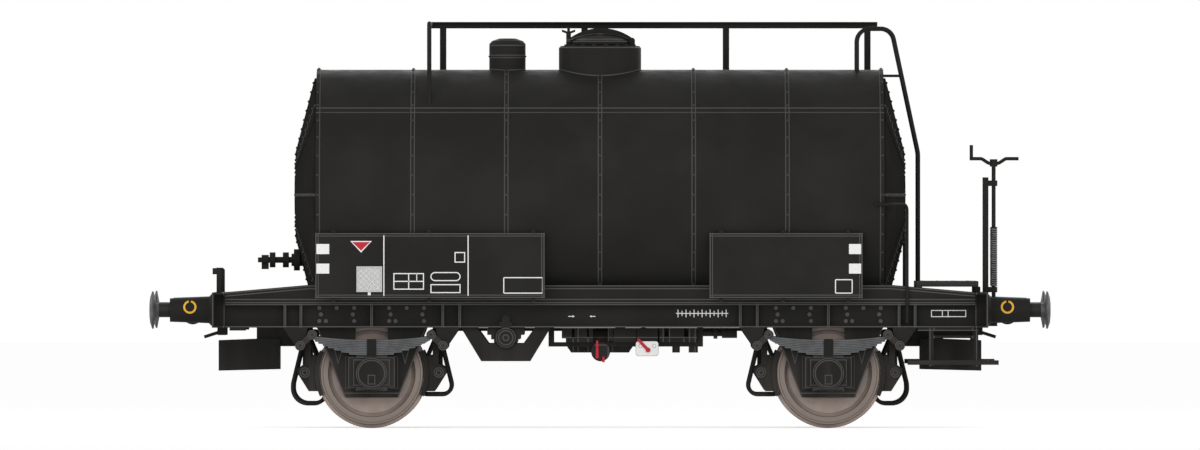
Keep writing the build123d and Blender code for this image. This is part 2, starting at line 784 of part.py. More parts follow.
def cradle_beams():
    """Flanged beams on the sole bars, tapering down to the headstocks."""
    ends = ((HEADSTOCK_BACK, HEADSTOCK_TOP), (CRADLE_FLAT, CRADLE_TOP))
    top = [(-x, z) for x, z in ends] + [(x, z) for x, z in reversed(ends)]
    under = [(x, z - CRADLE_FLANGE) for x, z in reversed(top)]
    web_outline = polygon((-HEADSTOCK_BACK, SOLE_TOP), *top, (HEADSTOCK_BACK, SOLE_TOP))
    web = side_plate(web_outline, (SOLE_OUTER - CRADLE_WEB, SOLE_OUTER))
    flange = side_plate(polygon(*top, *under), (SOLE_OUTER - CRADLE_FLANGE_WIDTH, SOLE_OUTER))
    length = (-HEADSTOCK_BACK, HEADSTOCK_BACK)
    base = block(length, (SOLE_WEB_Y, SOLE_OUTER), (SOLE_TOP, SOLE_TOP + CRADLE_BASE))
    lip_height = (SOLE_TOP, SOLE_TOP + CRADLE_LIP_HEIGHT)
    lip = block(length, (SOLE_OUTER, SOLE_OUTER + CRADLE_LIP), lip_height)
    return both_sides(web + flange + base + lip)


def tank_seats():
    """Shaped blocks between the cradle beams and the tank."""
    inner = SOLE_OUTER - CRADLE_FLANGE_WIDTH
    tank_side = TANK_AXIS_Z - sqrt(TANK_R ** 2 - SOLE_OUTER ** 2)
    height = tank_side - SEAT_EDGE - CRADLE_TOP
    corner = Rectangle(CRADLE_FLANGE_WIDTH, height, align=(Align.MIN, Align.MIN))
    outline = Pos(inner, CRADLE_TOP) * corner - tank_circle()
    return all_corners(*[end_plate(outline, span(AXLE_X + x, SEAT_LENGTH)) for x in SEATS_FROM_AXLE])


# Tank

def tank_barrel():
    """Barrel with hoop bands, rim bands and seam strips, bored under the manhole dome."""
    barrel = turned((-BARREL_HALF, 0), (-BARREL_HALF, TANK_R), (BARREL_HALF, TANK_R), (BARREL_HALF, 0))
    band = turned(
        (-BAND_WIDTH / 2, TANK_R - BAND_WIDTH),
        (-BAND_WIDTH / 2, TANK_R + BAND_PROUD),
        (BAND_WIDTH / 2, TANK_R + BAND_PROUD),
        (BAND_WIDTH / 2, TANK_R - BAND_WIDTH),
    )
    rim = turned(
        (BARREL_HALF - RIM_BAND_WIDTH, TANK_R - RIM_BAND_WIDTH),
        (BARREL_HALF - RIM_BAND_WIDTH, TANK_R + RIM_BAND_PROUD),
        (BARREL_HALF, TANK_R + RIM_BAND_PROUD),
        (BARREL_HALF, TANK_R - RIM_BAND_WIDTH),
    )
    first = -BAND_PITCH * (BAND_COUNT - 1) / 2
    bands = [Pos(first + number * BAND_PITCH, 0, 0) * band for number in range(BAND_COUNT)]
    seam_length = BARREL_LENGTH - 2 * RIM_BAND_WIDTH
    seam = block(span(0, seam_length), (TANK_R - SEAM_WIDTH, TANK_R + SEAM_PROUD), span(0, SEAM_WIDTH))
    seams = [Rot(angle, 0, 0) * seam for angle in (SEAM_ANGLE, 180 - SEAM_ANGLE)]
    upper = (0, TANK_R + BAND_WIDTH)
    domes = Cylinder(DOME_R, upper[1], align=(Align.CENTER, Align.CENTER, Align.MIN))
    domes += Pos(VENT_X, 0, 0) * Cylinder(VENT_R, upper[1], align=(Align.CENTER, Align.CENTER, Align.MIN))
    trim = bands[0]
    for piece in bands[1:] + both_ends(rim) + seams:
        trim += piece
    bore = Cylinder(TANK_BORE_R, TANK_BORE_DEPTH + BAND_WIDTH, align=(Align.CENTER, Align.CENTER, Align.MIN))
    bore = Pos(0, 0, TANK_TOP - TANK_BORE_DEPTH) * bore
    return [Pos(0, 0, TANK_AXIS_Z) * (barrel + (trim - domes)) - bore]


def tank_ends():
    """Conical ends with a flat middle, radial straps and a round cap at the middle."""
    cone_start = BARREL_HALF + END_RIM
    slope = hypot(END_FACE - cone_start, END_R - END_FLAT_R)
    out_x = STRAP_PROUD * (END_R - END_FLAT_R) / slope
    out_r = STRAP_PROUD * (END_FACE - cone_start) / slope
    end = turned(
        (BARREL_HALF, 0),
        (BARREL_HALF, END_R),
        (cone_start, END_R),
        (END_FACE, END_FLAT_R),
        (END_FACE, 0),
    )
    strap_outline = polygon(
        (cone_start - STRAP_SUNK, END_R),
        (cone_start + out_x, END_R + out_r),
        (END_FACE + STRAP_PROUD, END_FLAT_R + out_r),
        (END_FACE + STRAP_PROUD, 0),
        (END_FACE - STRAP_SUNK, 0),
        (END_FACE - STRAP_SUNK, END_FLAT_R),
    )
    strap = side_plate(strap_outline, span(0, STRAP_WIDTH))
    for angle in STRAP_ANGLES:
        end += Rot(angle, 0, 0) * strap
    cap_face = END_FACE + 2 * STRAP_PROUD
    end += turned((END_FACE, 0), (END_FACE, END_CAP_R), (cap_face, END_CAP_R - STRAP_PROUD), (cap_face, 0))
    return both_ends(Pos(0, 0, TANK_AXIS_Z) * end)


def manhole_dome():
    """Dome with a flat top, the manhole's coaming, the lid's hinge lugs and pin, and clamp lugs."""
    root = TANK_AXIS_Z + sqrt(TANK_R ** 2 - DOME_R ** 2) - DOME_EDGE
    inner = DOME_R - DOME_WALL
    under = DOME_TOP - DOME_PLATE
    outline = polygon(
        (root, inner),
        (root, DOME_R),
        (DOME_TOP - DOME_EDGE, DOME_R),
        (DOME_TOP, DOME_R - DOME_EDGE),
        (DOME_TOP, MANHOLE_R + COAMING),
        (DOME_TOP + COAMING_HEIGHT, MANHOLE_R + COAMING),
        (DOME_TOP + COAMING_HEIGHT, MANHOLE_R),
        (under, MANHOLE_R),
        (under, inner),
    )
    dome = along_z(revolve(outline, Axis.X)) - tank_form()
    lug_inner = KNUCKLE_WIDTH / 2 + HINGE_LUG_GAP
    lug_outline = Pos(HINGE_X, HINGE_Z) * Circle(KNUCKLE_R + HINGE_CLEARANCE)
    base_height = HINGE_Z - DOME_TOP
    lug_base = Rectangle(2 * KNUCKLE_R, base_height, align=(Align.CENTER, Align.MIN))
    lug_outline += Pos(HINGE_X, DOME_TOP) * lug_base
    lug = side_plate(lug_outline, (lug_inner, lug_inner + HINGE_LUG))
    pin_end = lug_inner + HINGE_LUG
    pin = bar((HINGE_X, -pin_end, HINGE_Z), (HINGE_X, pin_end, HINGE_Z), HINGE_PIN_R)
    clamp_inner = CLAMP_EYE_R + CLAMP_LUG_GAP
    clamp_lug = block(
        span(CLAMP_X, CLAMP_LUG_LENGTH),
        (clamp_inner, clamp_inner + CLAMP_LUG),
        (DOME_TOP, DOME_TOP + CLAMP_LUG_HEIGHT),
    )
    for piece in both_sides(lug, clamp_lug) + [pin]:
        dome += piece
    return [dome]


def manhole_lid():
    """Dished lid with a crescent strongback, its hinge knuckle and the clamp bolt with a wing nut."""
    seat = DOME_TOP + COAMING_HEIGHT
    lid = along_z(turned(
        (seat, 0),
        (seat, LID_R),
        (seat + LID_RIM, LID_R),
        (seat + LID_RIM + LID_SHOULDER, LID_SHOULDER_R),
        (seat + LID_RIM + LID_CROWN, LID_CROWN_R),
        (seat + LID_RIM + LID_CROWN, 0),
    ))
    tip = seat + LID_RIM
    crescent = make_face([
        ThreePointArc((CLAMP_X, tip + STRONGBACK_TIP), (0, STRONGBACK_TOP), (HINGE_X, HINGE_Z + STRONGBACK_TIP)),
        Line((HINGE_X, HINGE_Z + STRONGBACK_TIP), (HINGE_X, HINGE_Z)),
        ThreePointArc((HINGE_X, HINGE_Z), (0, STRONGBACK_TOP - STRONGBACK_DEPTH), (CLAMP_X, tip)),
        Line((CLAMP_X, tip), (CLAMP_X, tip + STRONGBACK_TIP)),
    ])
    lid += side_plate(crescent, span(0, STRONGBACK_WIDTH))
    boss_r = STRONGBACK_WIDTH
    lid += bar((0, 0, tip), (0, 0, STRONGBACK_TOP - STRONGBACK_DEPTH / 2), boss_r)
    knuckle_half = KNUCKLE_WIDTH / 2
    lid += bar((HINGE_X, -knuckle_half, HINGE_Z), (HINGE_X, knuckle_half, HINGE_Z), KNUCKLE_R)
    bolt = bar((CLAMP_X, 0, CLAMP_EYE_Z), (CLAMP_X, 0, CLAMP_TOP), CLAMP_R)
    eye = bar((CLAMP_X, -CLAMP_EYE_R, CLAMP_EYE_Z), (CLAMP_X, CLAMP_EYE_R, CLAMP_EYE_Z), CLAMP_EYE_R)
    nut_base = WING_Z - CLAMP_EYE_R
    nut = bar((CLAMP_X, 0, tip), (CLAMP_X, 0, WING_Z), CLAMP_EYE_R)
    wing_outline = polygon(
        (CLAMP_X, nut_base),
        (CLAMP_X + WING_SPAN / 2, WING_Z),
        (CLAMP_X + WING_SPAN / 2, WING_Z + CLAMP_EYE_R),
        (CLAMP_X, WING_Z),
        (CLAMP_X - WING_SPAN / 2, WING_Z + CLAMP_EYE_R),
        (CLAMP_X - WING_SPAN / 2, WING_Z),
    )
    wings = side_plate(wing_outline, span(0, WING_THICKNESS))
    for piece in (bolt, eye, nut, wings):
        lid += piece
    bore_end = KNUCKLE_WIDTH
    bore_r = HINGE_PIN_R + HINGE_CLEARANCE
    return [lid - bar((HINGE_X, -bore_end, HINGE_Z), (HINGE_X, bore_end, HINGE_Z), bore_r)]


def vent_dome():
    """Small round dome with a low crown and a band."""
    root = TANK_AXIS_Z + sqrt(TANK_R ** 2 - VENT_R ** 2) - DOME_EDGE
    band = span(TANK_TOP + VENT_BAND_RISE, VENT_BAND_HEIGHT)
    crown = [(TANK_TOP + rise, radius) for rise, radius in VENT_CROWN]
    dome = along_z(turned(
        (root, 0),
        (root, VENT_R),
        (band[0], VENT_R),
        (band[0], VENT_R + VENT_BAND_PROUD),
        (band[1], VENT_R + VENT_BAND_PROUD),
        (band[1], VENT_R),
        *crown,
        (crown[-1][0], 0),
    ))
    return [Pos(VENT_X, 0, 0) * dome - tank_form()]


def end_surface(z):
    """Place along X of the tank end's surface on the centre line at a height."""
    cone_start = BARREL_HALF + END_RIM
    share = (END_R - abs(z - TANK_AXIS_Z)) / (END_R - END_FLAT_R)
    return cone_start + share * (END_FACE - cone_start)


def heating_pipe(end):
    """Flanged pipe with a lugged nut, standing out of the plain end."""
    face = end_surface(HEATING_Z + HEATING_FLANGE_R)
    pipe = None
    for start, stop, radius in HEATING_STRETCHES:
        stretch = turned((face + start, 0), (face + start, radius), (face + stop, radius), (face + stop, 0))
        pipe = stretch if pipe is None else pipe + stretch
    lug_x = (face + HEATING_LUG[0], face + HEATING_LUG[1])
    pipe += block(lug_x, span(0, HEATING_LUG_WIDTH), (-HEATING_LUG_DROP, 0))
    pipe = mirror(Pos(0, 0, HEATING_Z) * pipe, about=Plane.YZ)
    return [pipe - end]


def outlet_pipe():
    """Pipe across the car with the valve under the tank, and a stepped body, cap and latch at each end."""
    pipe = along_y(turned(
        (-OUTLET_CAP_Y, 0),
        (-OUTLET_CAP_Y, OUTLET_PIPE_R),
        (OUTLET_CAP_Y, OUTLET_PIPE_R),
        (OUTLET_CAP_Y, 0),
    ))
    riser_top = TANK_BOTTOM_Z + BAND_WIDTH - OUTLET_Z
    pipe += Cylinder(OUTLET_VALVE_R, riser_top, align=(Align.CENTER, Align.CENTER, Align.MIN))
    pipe += Sphere(OUTLET_VALVE_R)
    cap_end = OUTLET_CAP_Y + OUTLET_CAP_LENGTH
    edge = OUTLET_CAP_LENGTH / 4
    end = along_y(turned(
        (OUTLET_CAP_Y, 0),
        (OUTLET_CAP_Y, OUTLET_CAP_R),
        (cap_end - edge, OUTLET_CAP_R),
        (cap_end, OUTLET_CAP_R - edge),
        (cap_end + OUTLET_NUT, OUTLET_NUT_R),
        (cap_end + OUTLET_NUT, 0),
    ))
    for half, low, high in OUTLET_BODY:
        end += block((-half, half), (GUARD_Y, OUTLET_CAP_Y), (low - OUTLET_Z, high - OUTLET_Z))
    latch_y = (SOLE_OUTER + LATCH_GAP, SOLE_OUTER + LATCH_GAP + LATCH_THICKNESS)
    latch_top = LATCH_TOP - LATCH_WIDTH / 2 - OUTLET_Z
    end += block(span(0, LATCH_WIDTH), latch_y, (0, latch_top))
    end += bar((0, latch_y[0], latch_top), (0, latch_y[1], latch_top), LATCH_WIDTH / 2)
    end += block(span(0, LATCH_YOKE), latch_y, [z - OUTLET_Z for z in LATCH_YOKE_Z])
    for piece in both_sides(end):
        pipe += piece
    return [Pos(OUTLET_X, 0, OUTLET_Z) * pipe - tank_form(TANK_R + BAND_PROUD)]


def outlet_guards():
    """Trough-shaped guard bars under the sole bars, round the outlet caps."""
    def trough(bottom_width, top_width, bottom):
        return polygon(
            (OUTLET_X - top_width / 2, SOLE_BOTTOM),
            (OUTLET_X - bottom_width / 2, bottom),
            (OUTLET_X + bottom_width / 2, bottom),
            (OUTLET_X + top_width / 2, SOLE_BOTTOM),
        )
    outer = trough(GUARD_BOTTOM_WIDTH, GUARD_TOP_WIDTH, GUARD_BOTTOM)
    inner = trough(GUARD_INNER_BOTTOM, GUARD_INNER_TOP, GUARD_BOTTOM + GUARD_BAR)
    hole = Pos(OUTLET_X, OUTLET_Z) * Circle(OUTLET_PIPE_R + BLOCK_CLEARANCE)
    return both_sides(side_plate(outer - inner - hole, (GUARD_Y, GUARD_Y + GUARD_DEPTH)))


# Walkway, handrail and ladder

def walkway():
    """Planks along the far side of the tank top."""
    planks = []
    for number in range(PLANK_COUNT):
        start = WALKWAY_INNER + number * (PLANK_WIDTH + PLANK_GAP)
        height = (WALKWAY_Z, WALKWAY_Z + WALKWAY_PLANK)
        planks.append(block((RAIL_START, RAIL_END), (start, start + PLANK_WIDTH), height))
    return planks


def walkway_brackets():
    """Plates between the tank and the planks, one beside each post."""
    outer = RAIL_Y + RAIL_THICKNESS
    outline = polygon(
        (WALKWAY_INNER, WALKWAY_Z),
        (outer, WALKWAY_Z),
        (outer, TANK_AXIS_Z),
        (WALKWAY_INNER, TANK_AXIS_Z),
    ) - tank_circle()
    return [end_plate(outline, span(x, WALKWAY_BRACKET)) for x in POST_PLACES]


def handrail_posts():
    """Angle posts standing on the tank's far shoulder."""
    front = RAIL_Y + RAIL_THICKNESS
    half = RAIL_SIZE / 2
    height = (TANK_AXIS_Z, RAIL_TOP - RAIL_THICKNESS)
    face = block((-half, half), (front, front + RAIL_THICKNESS), height)
    leg = block((half - RAIL_THICKNESS, half), (front, front + POST_LEG), height)
    post = face + leg
    return [Pos(x, 0, 0) * post - tank_form() for x in POST_PLACES]


def handrail():
    """Angle rail along the posts."""
    length = (RAIL_START, RAIL_END)
    upright = block(length, (RAIL_Y, RAIL_Y + RAIL_THICKNESS), (RAIL_TOP - RAIL_SIZE, RAIL_TOP))
    shelf_start = RAIL_Y + RAIL_THICKNESS - RAIL_SIZE
    shelf = block(length, (shelf_start, RAIL_Y), (RAIL_TOP - RAIL_THICKNESS, RAIL_TOP))
    return [upright + shelf]


def end_rail():
    """Tube across the car from the handrail, bent down to the near shoulder of the tank."""
    points = (
        (END_RAIL_X, RAIL_Y, END_RAIL_Z),
        (END_RAIL_X, -RAIL_Y, END_RAIL_Z),
        (END_RAIL_X, -RAIL_Y, TANK_AXIS_Z),
    )
    return [bent_bar(points, END_RAIL_R, END_RAIL_BEND) - tank_form()]


def stile_x(z):
    """Place along X of the ladder's climbing side at a height."""
    if z <= LADDER_KNEE_Z:
        return LADDER_FOOT_X
    share = (z - LADDER_KNEE_Z) / (LADDER_TOP_Z - LADDER_KNEE_Z)
    return LADDER_FOOT_X + share * (LADDER_TOP_X - LADDER_FOOT_X)


def ladder_stiles():
    """Bent tubes from the platform up over the tank's edge and down to its top, each with a stay."""
    points = (
        (LADDER_FOOT_X, LADDER_Y, PLATFORM_Z + PLATFORM_DEPTH),
        (LADDER_FOOT_X, LADDER_Y, LADDER_KNEE_Z),
        (LADDER_TOP_X, LADDER_Y, LADDER_TOP_Z),
        (LADDER_BACK_X, LADDER_Y, LADDER_TOP_Z),
        (LADDER_BACK_X, LADDER_Y, TANK_AXIS_Z + TANK_R - LADDER_ARCH_BEND),
    )
    bends = (LADDER_KNEE_BEND, LADDER_ARCH_BEND, LADDER_ARCH_BEND)
    stay = bar((BARREL_HALF, LADDER_Y, STAY_Z), (stile_x(STAY_Z), LADDER_Y, STAY_Z), RUNG_R)
    return both_sides(bent_bar(points, STILE_R, bends) + stay - tank_form())


def ladder_rungs():
    """Round rungs between the stiles, up the platform side."""
    reach = LADDER_Y - STILE_R
    levels = [RUNG_FIRST_Z + number * RUNG_PITCH for number in range(RUNG_COUNT)]
    return [bar((stile_x(z), -reach, z), (stile_x(z), reach, z), RUNG_R) for z in levels]


# Platform, grab rails and hand brake

def end_platform():
    """Platform floor of boards with open joints."""
    top = PLATFORM_Z + PLATFORM_DEPTH
    floor = block((PLATFORM_START, PLATFORM_END), span(0, PLATFORM_WIDTH), (PLATFORM_Z, top))
    pitch = (PLATFORM_END - PLATFORM_START) / (PLATFORM_GROOVES + 1)
    for number in range(1, PLATFORM_GROOVES + 1):
        joint = span(PLATFORM_START + number * pitch, GROOVE_WIDTH)
        floor -= block(joint, span(0, PLATFORM_WIDTH), (top - GROOVE_DEPTH, top))
    return [floor]


def platform_supports():
    """Legs on the headstock and packings on the cradle beams."""
    leg_x = (HEADSTOCK_FACE - HEADSTOCK_DEPTH, HEADSTOCK_FACE - HEADSTOCK_DEPTH + LEG_WIDTH)
    legs = [block(leg_x, span(y, LEG_WIDTH), (HEADSTOCK_TOP, PLATFORM_Z)) for y in LEG_PLACES]
    ends = (PLATFORM_START, PLATFORM_START + LEG_WIDTH)
    outline = polygon(
        (ends[0], cradle_top(ends[0])),
        (ends[1], cradle_top(ends[1])),
        (ends[1], PLATFORM_Z),
        (ends[0], PLATFORM_Z),
    )
    packing = side_plate(outline, (SOLE_OUTER - CRADLE_FLANGE_WIDTH, PLATFORM_WIDTH / 2))
    return legs + both_sides(packing)


def grab_rails():
    """Rails from the tank's sides past the platform and down to the sole bars."""
    rail_y = TANK_R + GRAB_TANK_GAP + GRAB_R
    points = (
        (GRAB_START, rail_y, GRAB_Z),
        (GRAB_TURN, rail_y, GRAB_Z),
        (GRAB_DROP, GRAB_DROP_Y, GRAB_Z),
        (GRAB_DROP, GRAB_DROP_Y, GRAB_FOOT_Z - GRAB_FOOT / 2),
    )
    rail = bent_bar(points, GRAB_R, GRAB_BEND)
    tank_foot = block((GRAB_START, GRAB_START + GRAB_FOOT), (SOLE_OUTER, rail_y), span(GRAB_Z, GRAB_R))
    sole_foot_y = (SOLE_WEB_Y + SOLE_WEB, GRAB_DROP_Y)
    sole_foot = block(span(GRAB_DROP, GRAB_FOOT), sole_foot_y, span(GRAB_FOOT_Z, GRAB_FOOT))
    return both_sides(rail + (tank_foot - tank_form()) + sole_foot)


def handbrake_post():
    """Channel post on the headstock, notched over its face, with the spindle's three bearings."""
    front = HEADSTOCK_FACE + BRAKE_POST_FRONT
    back = HEADSTOCK_FACE - BRAKE_POST_BACK
    cheek = polygon(
        (HEADSTOCK_FACE, SOLE_BOTTOM),
        (front, SOLE_BOTTOM),
        (front, BRAKE_POST_TOP),
        (back, BRAKE_POST_TOP),
        (back, HEADSTOCK_TOP),
        (HEADSTOCK_FACE, HEADSTOCK_TOP),
    )
    low, high = span(BRAKE_POST_Y, BRAKE_POST_WIDTH)
    post = block((front - BRAKE_POST_WALL, front), (low, high), (SOLE_BOTTOM, BRAKE_POST_TOP))
    for width in ((low, low + BRAKE_POST_WALL), (high - BRAKE_POST_WALL, high)):
        post += side_plate(cheek, width)
    for level in BEARING_LEVELS:
        rise = (level, level + BEARING_HEIGHT)
        post += block((front, SPINDLE_X), span(BRAKE_POST_Y, 2 * BEARING_R), rise)
        post += bar((SPINDLE_X, BRAKE_POST_Y, rise[0]), (SPINDLE_X, BRAKE_POST_Y, rise[1]), BEARING_R)
    hole_r = SPINDLE_R + SPINDLE_CLEARANCE
    return [post - bar((SPINDLE_X, BRAKE_POST_Y, 0), (SPINDLE_X, BRAKE_POST_Y, CRANK_Z), hole_r)]


def handbrake_spindle():
    """Spindle with its screwed length, hub and two-armed crank with an upright handle."""
    def upright(low, high, radius):
        return bar((SPINDLE_X, BRAKE_POST_Y, low), (SPINDLE_X, BRAKE_POST_Y, high), radius)
    dip_z = CRANK_Z - CRANK_DIP
    spindle = upright(BEARING_LEVELS[0], SPINDLE_TOP, SPINDLE_R)
    spindle += upright(SLEEVE_Z[0], SLEEVE_Z[1], SLEEVE_R)
    spindle += upright(SPINDLE_TOP - CRANK_HUB_HEIGHT, SPINDLE_TOP, CRANK_HUB_R)
    stations = (
        (CRANK_ENDS[0], CRANK_Z),
        (SPINDLE_X - CRANK_SHOULDER, CRANK_Z),
        (SPINDLE_X - CRANK_NECK, dip_z),
        (SPINDLE_X + CRANK_NECK, dip_z),
        (SPINDLE_X + CRANK_SHOULDER, CRANK_Z),
        (CRANK_ENDS[1], CRANK_Z),
    )
    spindle += bent_bar([(x, BRAKE_POST_Y, z) for x, z in stations], CRANK_R, CRANK_BEND)
    handle_x = CRANK_ENDS[0] + CRANK_R
    handle = bar((handle_x, BRAKE_POST_Y, CRANK_Z), (handle_x, BRAKE_POST_Y, CRANK_HANDLE_TOP), CRANK_R)
    return [spindle + handle]


def lamp_irons():
    """Flat irons on the plain headstock, with a short arm at the top."""
    outer = LAMP_SETBACK - HEADSTOCK_FACE
    inner = outer + LAMP_WIDTH
    outline = polygon(
        (inner, HEADSTOCK_TOP),
        (inner, LAMP_TOP - LAMP_CORNER),
        (inner - LAMP_CORNER, LAMP_TOP),
        (outer - LAMP_ARM, LAMP_TOP),
        (outer - LAMP_ARM, LAMP_TOP - LAMP_END),
        (outer, LAMP_TOP - LAMP_END),
        (outer, HEADSTOCK_TOP),
    )
    return both_sides(side_plate(outline, span(LAMP_Y, LAMP_THICKNESS)))


# Name boards

def name_boards():
    """Framed plates on both sides, each pair turned half round on the far side."""
    boards = []
    face = -BOARD_Y - BOARD_PLATE
    for start, end, _ in BOARDS:
        plate = block((start, end), (face, -BOARD_Y), (BOARD_BOTTOM, BOARD_TOP))
        edge = block((start, end), (face - BOARD_EDGE_PROUD, face), (BOARD_BOTTOM, BOARD_TOP))
        inside_x = (start + BOARD_EDGE, end - BOARD_EDGE)
        inside_z = (BOARD_BOTTOM + BOARD_EDGE, BOARD_TOP - BOARD_EDGE)
        edge -= block(inside_x, (face - BOARD_EDGE_PROUD, face), inside_z)
        boards.append(plate + edge)
    return turned_about(*boards)


def board_brackets():
    """Angle irons from the cradle beams' lips up the backs of the name boards."""
    irons = []
    back = (-BOARD_Y, -BOARD_Y + BRACKET_THICKNESS)
    arm_y = (-BOARD_Y, -SOLE_OUTER - CRADLE_LIP)
    for _, _, places in BOARDS:
        for x in places:
            width = span(x, BRACKET_WIDTH)
            upright = block(width, back, (BRACKET_ARM_Z, BRACKET_TOP))
            arm = block(width, arm_y, (BRACKET_ARM_Z, BRACKET_ARM_Z + BRACKET_THICKNESS))
            irons.append(upright + arm)
    return turned_about(*irons)


def card_holders():
    """Square card holder on each long board."""
    face = -BOARD_Y - BOARD_PLATE
    square = span(CARD_X, CARD_SIZE)
    height = span(CARD_Z, CARD_SIZE)
    holder = block(square, (face - CARD_DEPTH, face), height)
    inner = CARD_SIZE - 2 * CARD_EDGE
    recess_y = (face - CARD_DEPTH, face - CARD_DEPTH + CARD_RECESS)
    holder -= block(span(CARD_X, inner), recess_y, span(CARD_Z, inner))
    return turned_about(holder)


# Wheelsets

def at_axle(solid, end):
    return Pos(end * AXLE_X, 0, AXLE_Z) * solid


def wheel_pair(end):
    """Both wheels of a set, turned with rim, dished web and hub."""
    hub_back = WHEEL_BACK + RIM_WIDTH / 2 - HUB_WIDTH / 2
    hub_face = hub_back + HUB_WIDTH
    rim_r = TREAD_R - RIM_DEPTH
    web_back = WHEEL_BACK + WEB_OFFSET
    web_face = web_back + WEB_DEPTH
    flange = [(WHEEL_BACK + width * FLANGE_WIDTH, TREAD_R + height * FLANGE_HEIGHT)
              for width, height in FLANGE_PROFILE]
    flange_face = WHEEL_BACK + FLANGE_WIDTH
    wheel = along_y(turned(
        (hub_back, WHEEL_SEAT_R),
        (hub_back, HUB_R),
        (web_back, HUB_R + RIM_STEP),
        (web_back, rim_r - RIM_STEP),
        (WHEEL_BACK, rim_r),
        *flange,
        (flange_face, TREAD_R + TREAD_TAPER),
        (flange_face + FLANGE_ROOT, TREAD_R),
        (WHEEL_FACE - TREAD_TAPER, TREAD_R - TREAD_TAPER),
        (WHEEL_FACE, TREAD_R - 2 * TREAD_TAPER),
        (WHEEL_FACE, TREAD_R - RIM_STEP),
        (WHEEL_FACE - TREAD_TAPER, TREAD_R - RIM_STEP),
        (WHEEL_FACE - TREAD_TAPER, rim_r),
        (web_face, rim_r - RIM_STEP),
        (web_face, HUB_R + RIM_STEP),
        (hub_face, HUB_R),
        (hub_face, WHEEL_SEAT_R),
    ))
    return [at_axle(solid, end) for solid in both_sides(wheel)]


def axle(end):
    """Axle with wheel seats and journals."""
    hub_back = WHEEL_BACK + RIM_WIDTH / 2 - HUB_WIDTH / 2
    seat_end = hub_back + HUB_WIDTH
    journal_end = JOURNAL_Y + JOURNAL_LENGTH / 2
    half = (
        (hub_back - 2 * RIM_STEP, AXLE_R),
        (hub_back, WHEEL_SEAT_R),
        (seat_end, WHEEL_SEAT_R),
        (seat_end, AXLE_R),
        (BOX_BACK - JOURNAL_CLEARANCE, AXLE_R),
        (BOX_BACK - JOURNAL_CLEARANCE, JOURNAL_R),
        (journal_end, JOURNAL_R),
        (journal_end, 0),
    )
    other_half = [(-y, r) for y, r in reversed(half)]
    return [at_axle(along_y(turned(*other_half, *half)), end)]


# Axle guards, axle boxes and springs

def axle_guards():
    """Ribbed guard plates behind the sole bars, open round the axle boxes and tied below them."""
    outer = polygon(
        (-GUARD_HALF_TOP, GUARD_HIGH_Z),
        (GUARD_HALF_TOP, GUARD_HIGH_Z),
        (GUARD_HALF_TOP, SOLE_BOTTOM),
        (GUARD_HALF_BOTTOM, GUARD_LOW_Z),
        (-GUARD_HALF_BOTTOM, GUARD_LOW_Z),
        (-GUARD_HALF_TOP, SOLE_BOTTOM),
    )
    gap_low = GUARD_LOW_Z + GUARD_TIE
    gap = Rectangle(2 * HORN_HALF, SOLE_BOTTOM - gap_low, align=(Align.CENTER, Align.MIN))
    plate = side_plate(outer - Pos(0, gap_low) * gap, (SOLE_WEB_Y - GUARD_PLATE, SOLE_WEB_Y))
    rib_y = (SOLE_WEB_Y, SOLE_WEB_Y + GUARD_RIB)
    low, high = GUSSET_Z
    for side in (-1, 1):
        for rib in GUARD_RIBS:
            plate += block(span(side * rib, GUARD_RIB), rib_y, (GUARD_RIB_LOW, SOLE_BOTTOM))
        x = side * GUSSET_X
        plate += side_plate(polygon((x, low), (x + GUSSET_HALF, high), (x - GUSSET_HALF, high)), rib_y)
    return all_corners(Pos(AXLE_X, 0, 0) * plate)


def axle_boxes():
    """Boxes bored for the journals, stepped before the guard, with a round cover."""
    body = block((-BOX_HALF, BOX_HALF), (BOX_BACK, BOX_FRONT), (BOX_LOW_Z, SPRING_SEAT_Z))
    for half, low, high, front in BOX_STEPS:
        body += block((-half, half), (SOLE_WEB_Y + BOX_FLANGE_GAP, front), (low, high))
    cover = along_y(turned(
        (BOX_FRONT, 0),
        (BOX_FRONT, BOX_COVER_R),
        (BOX_COVER_END - BOX_COVER_EDGE, BOX_COVER_R),
        (BOX_COVER_END, BOX_COVER_R - BOX_COVER_EDGE),
        (BOX_COVER_END, 0),
    ))
    body += Pos(0, 0, AXLE_Z) * cover
    width, height, depth = BOX_PLATE
    plate_y = (BOX_COVER_END, BOX_COVER_END + depth)
    body += block(span(0, width), plate_y, span(AXLE_Z - BOX_PLATE_DROP, height))
    journal_end = JOURNAL_Y + JOURNAL_LENGTH / 2 - BOX_BACK + JOURNAL_CLEARANCE
    bore = Cylinder(JOURNAL_R + JOURNAL_CLEARANCE, journal_end, align=(Align.CENTER, Align.CENTER, Align.MIN))
    body -= Pos(0, BOX_BACK, AXLE_Z) * Rot(-90, 0, 0) * bore
    return all_corners(Pos(AXLE_X, 0, 0) * body)


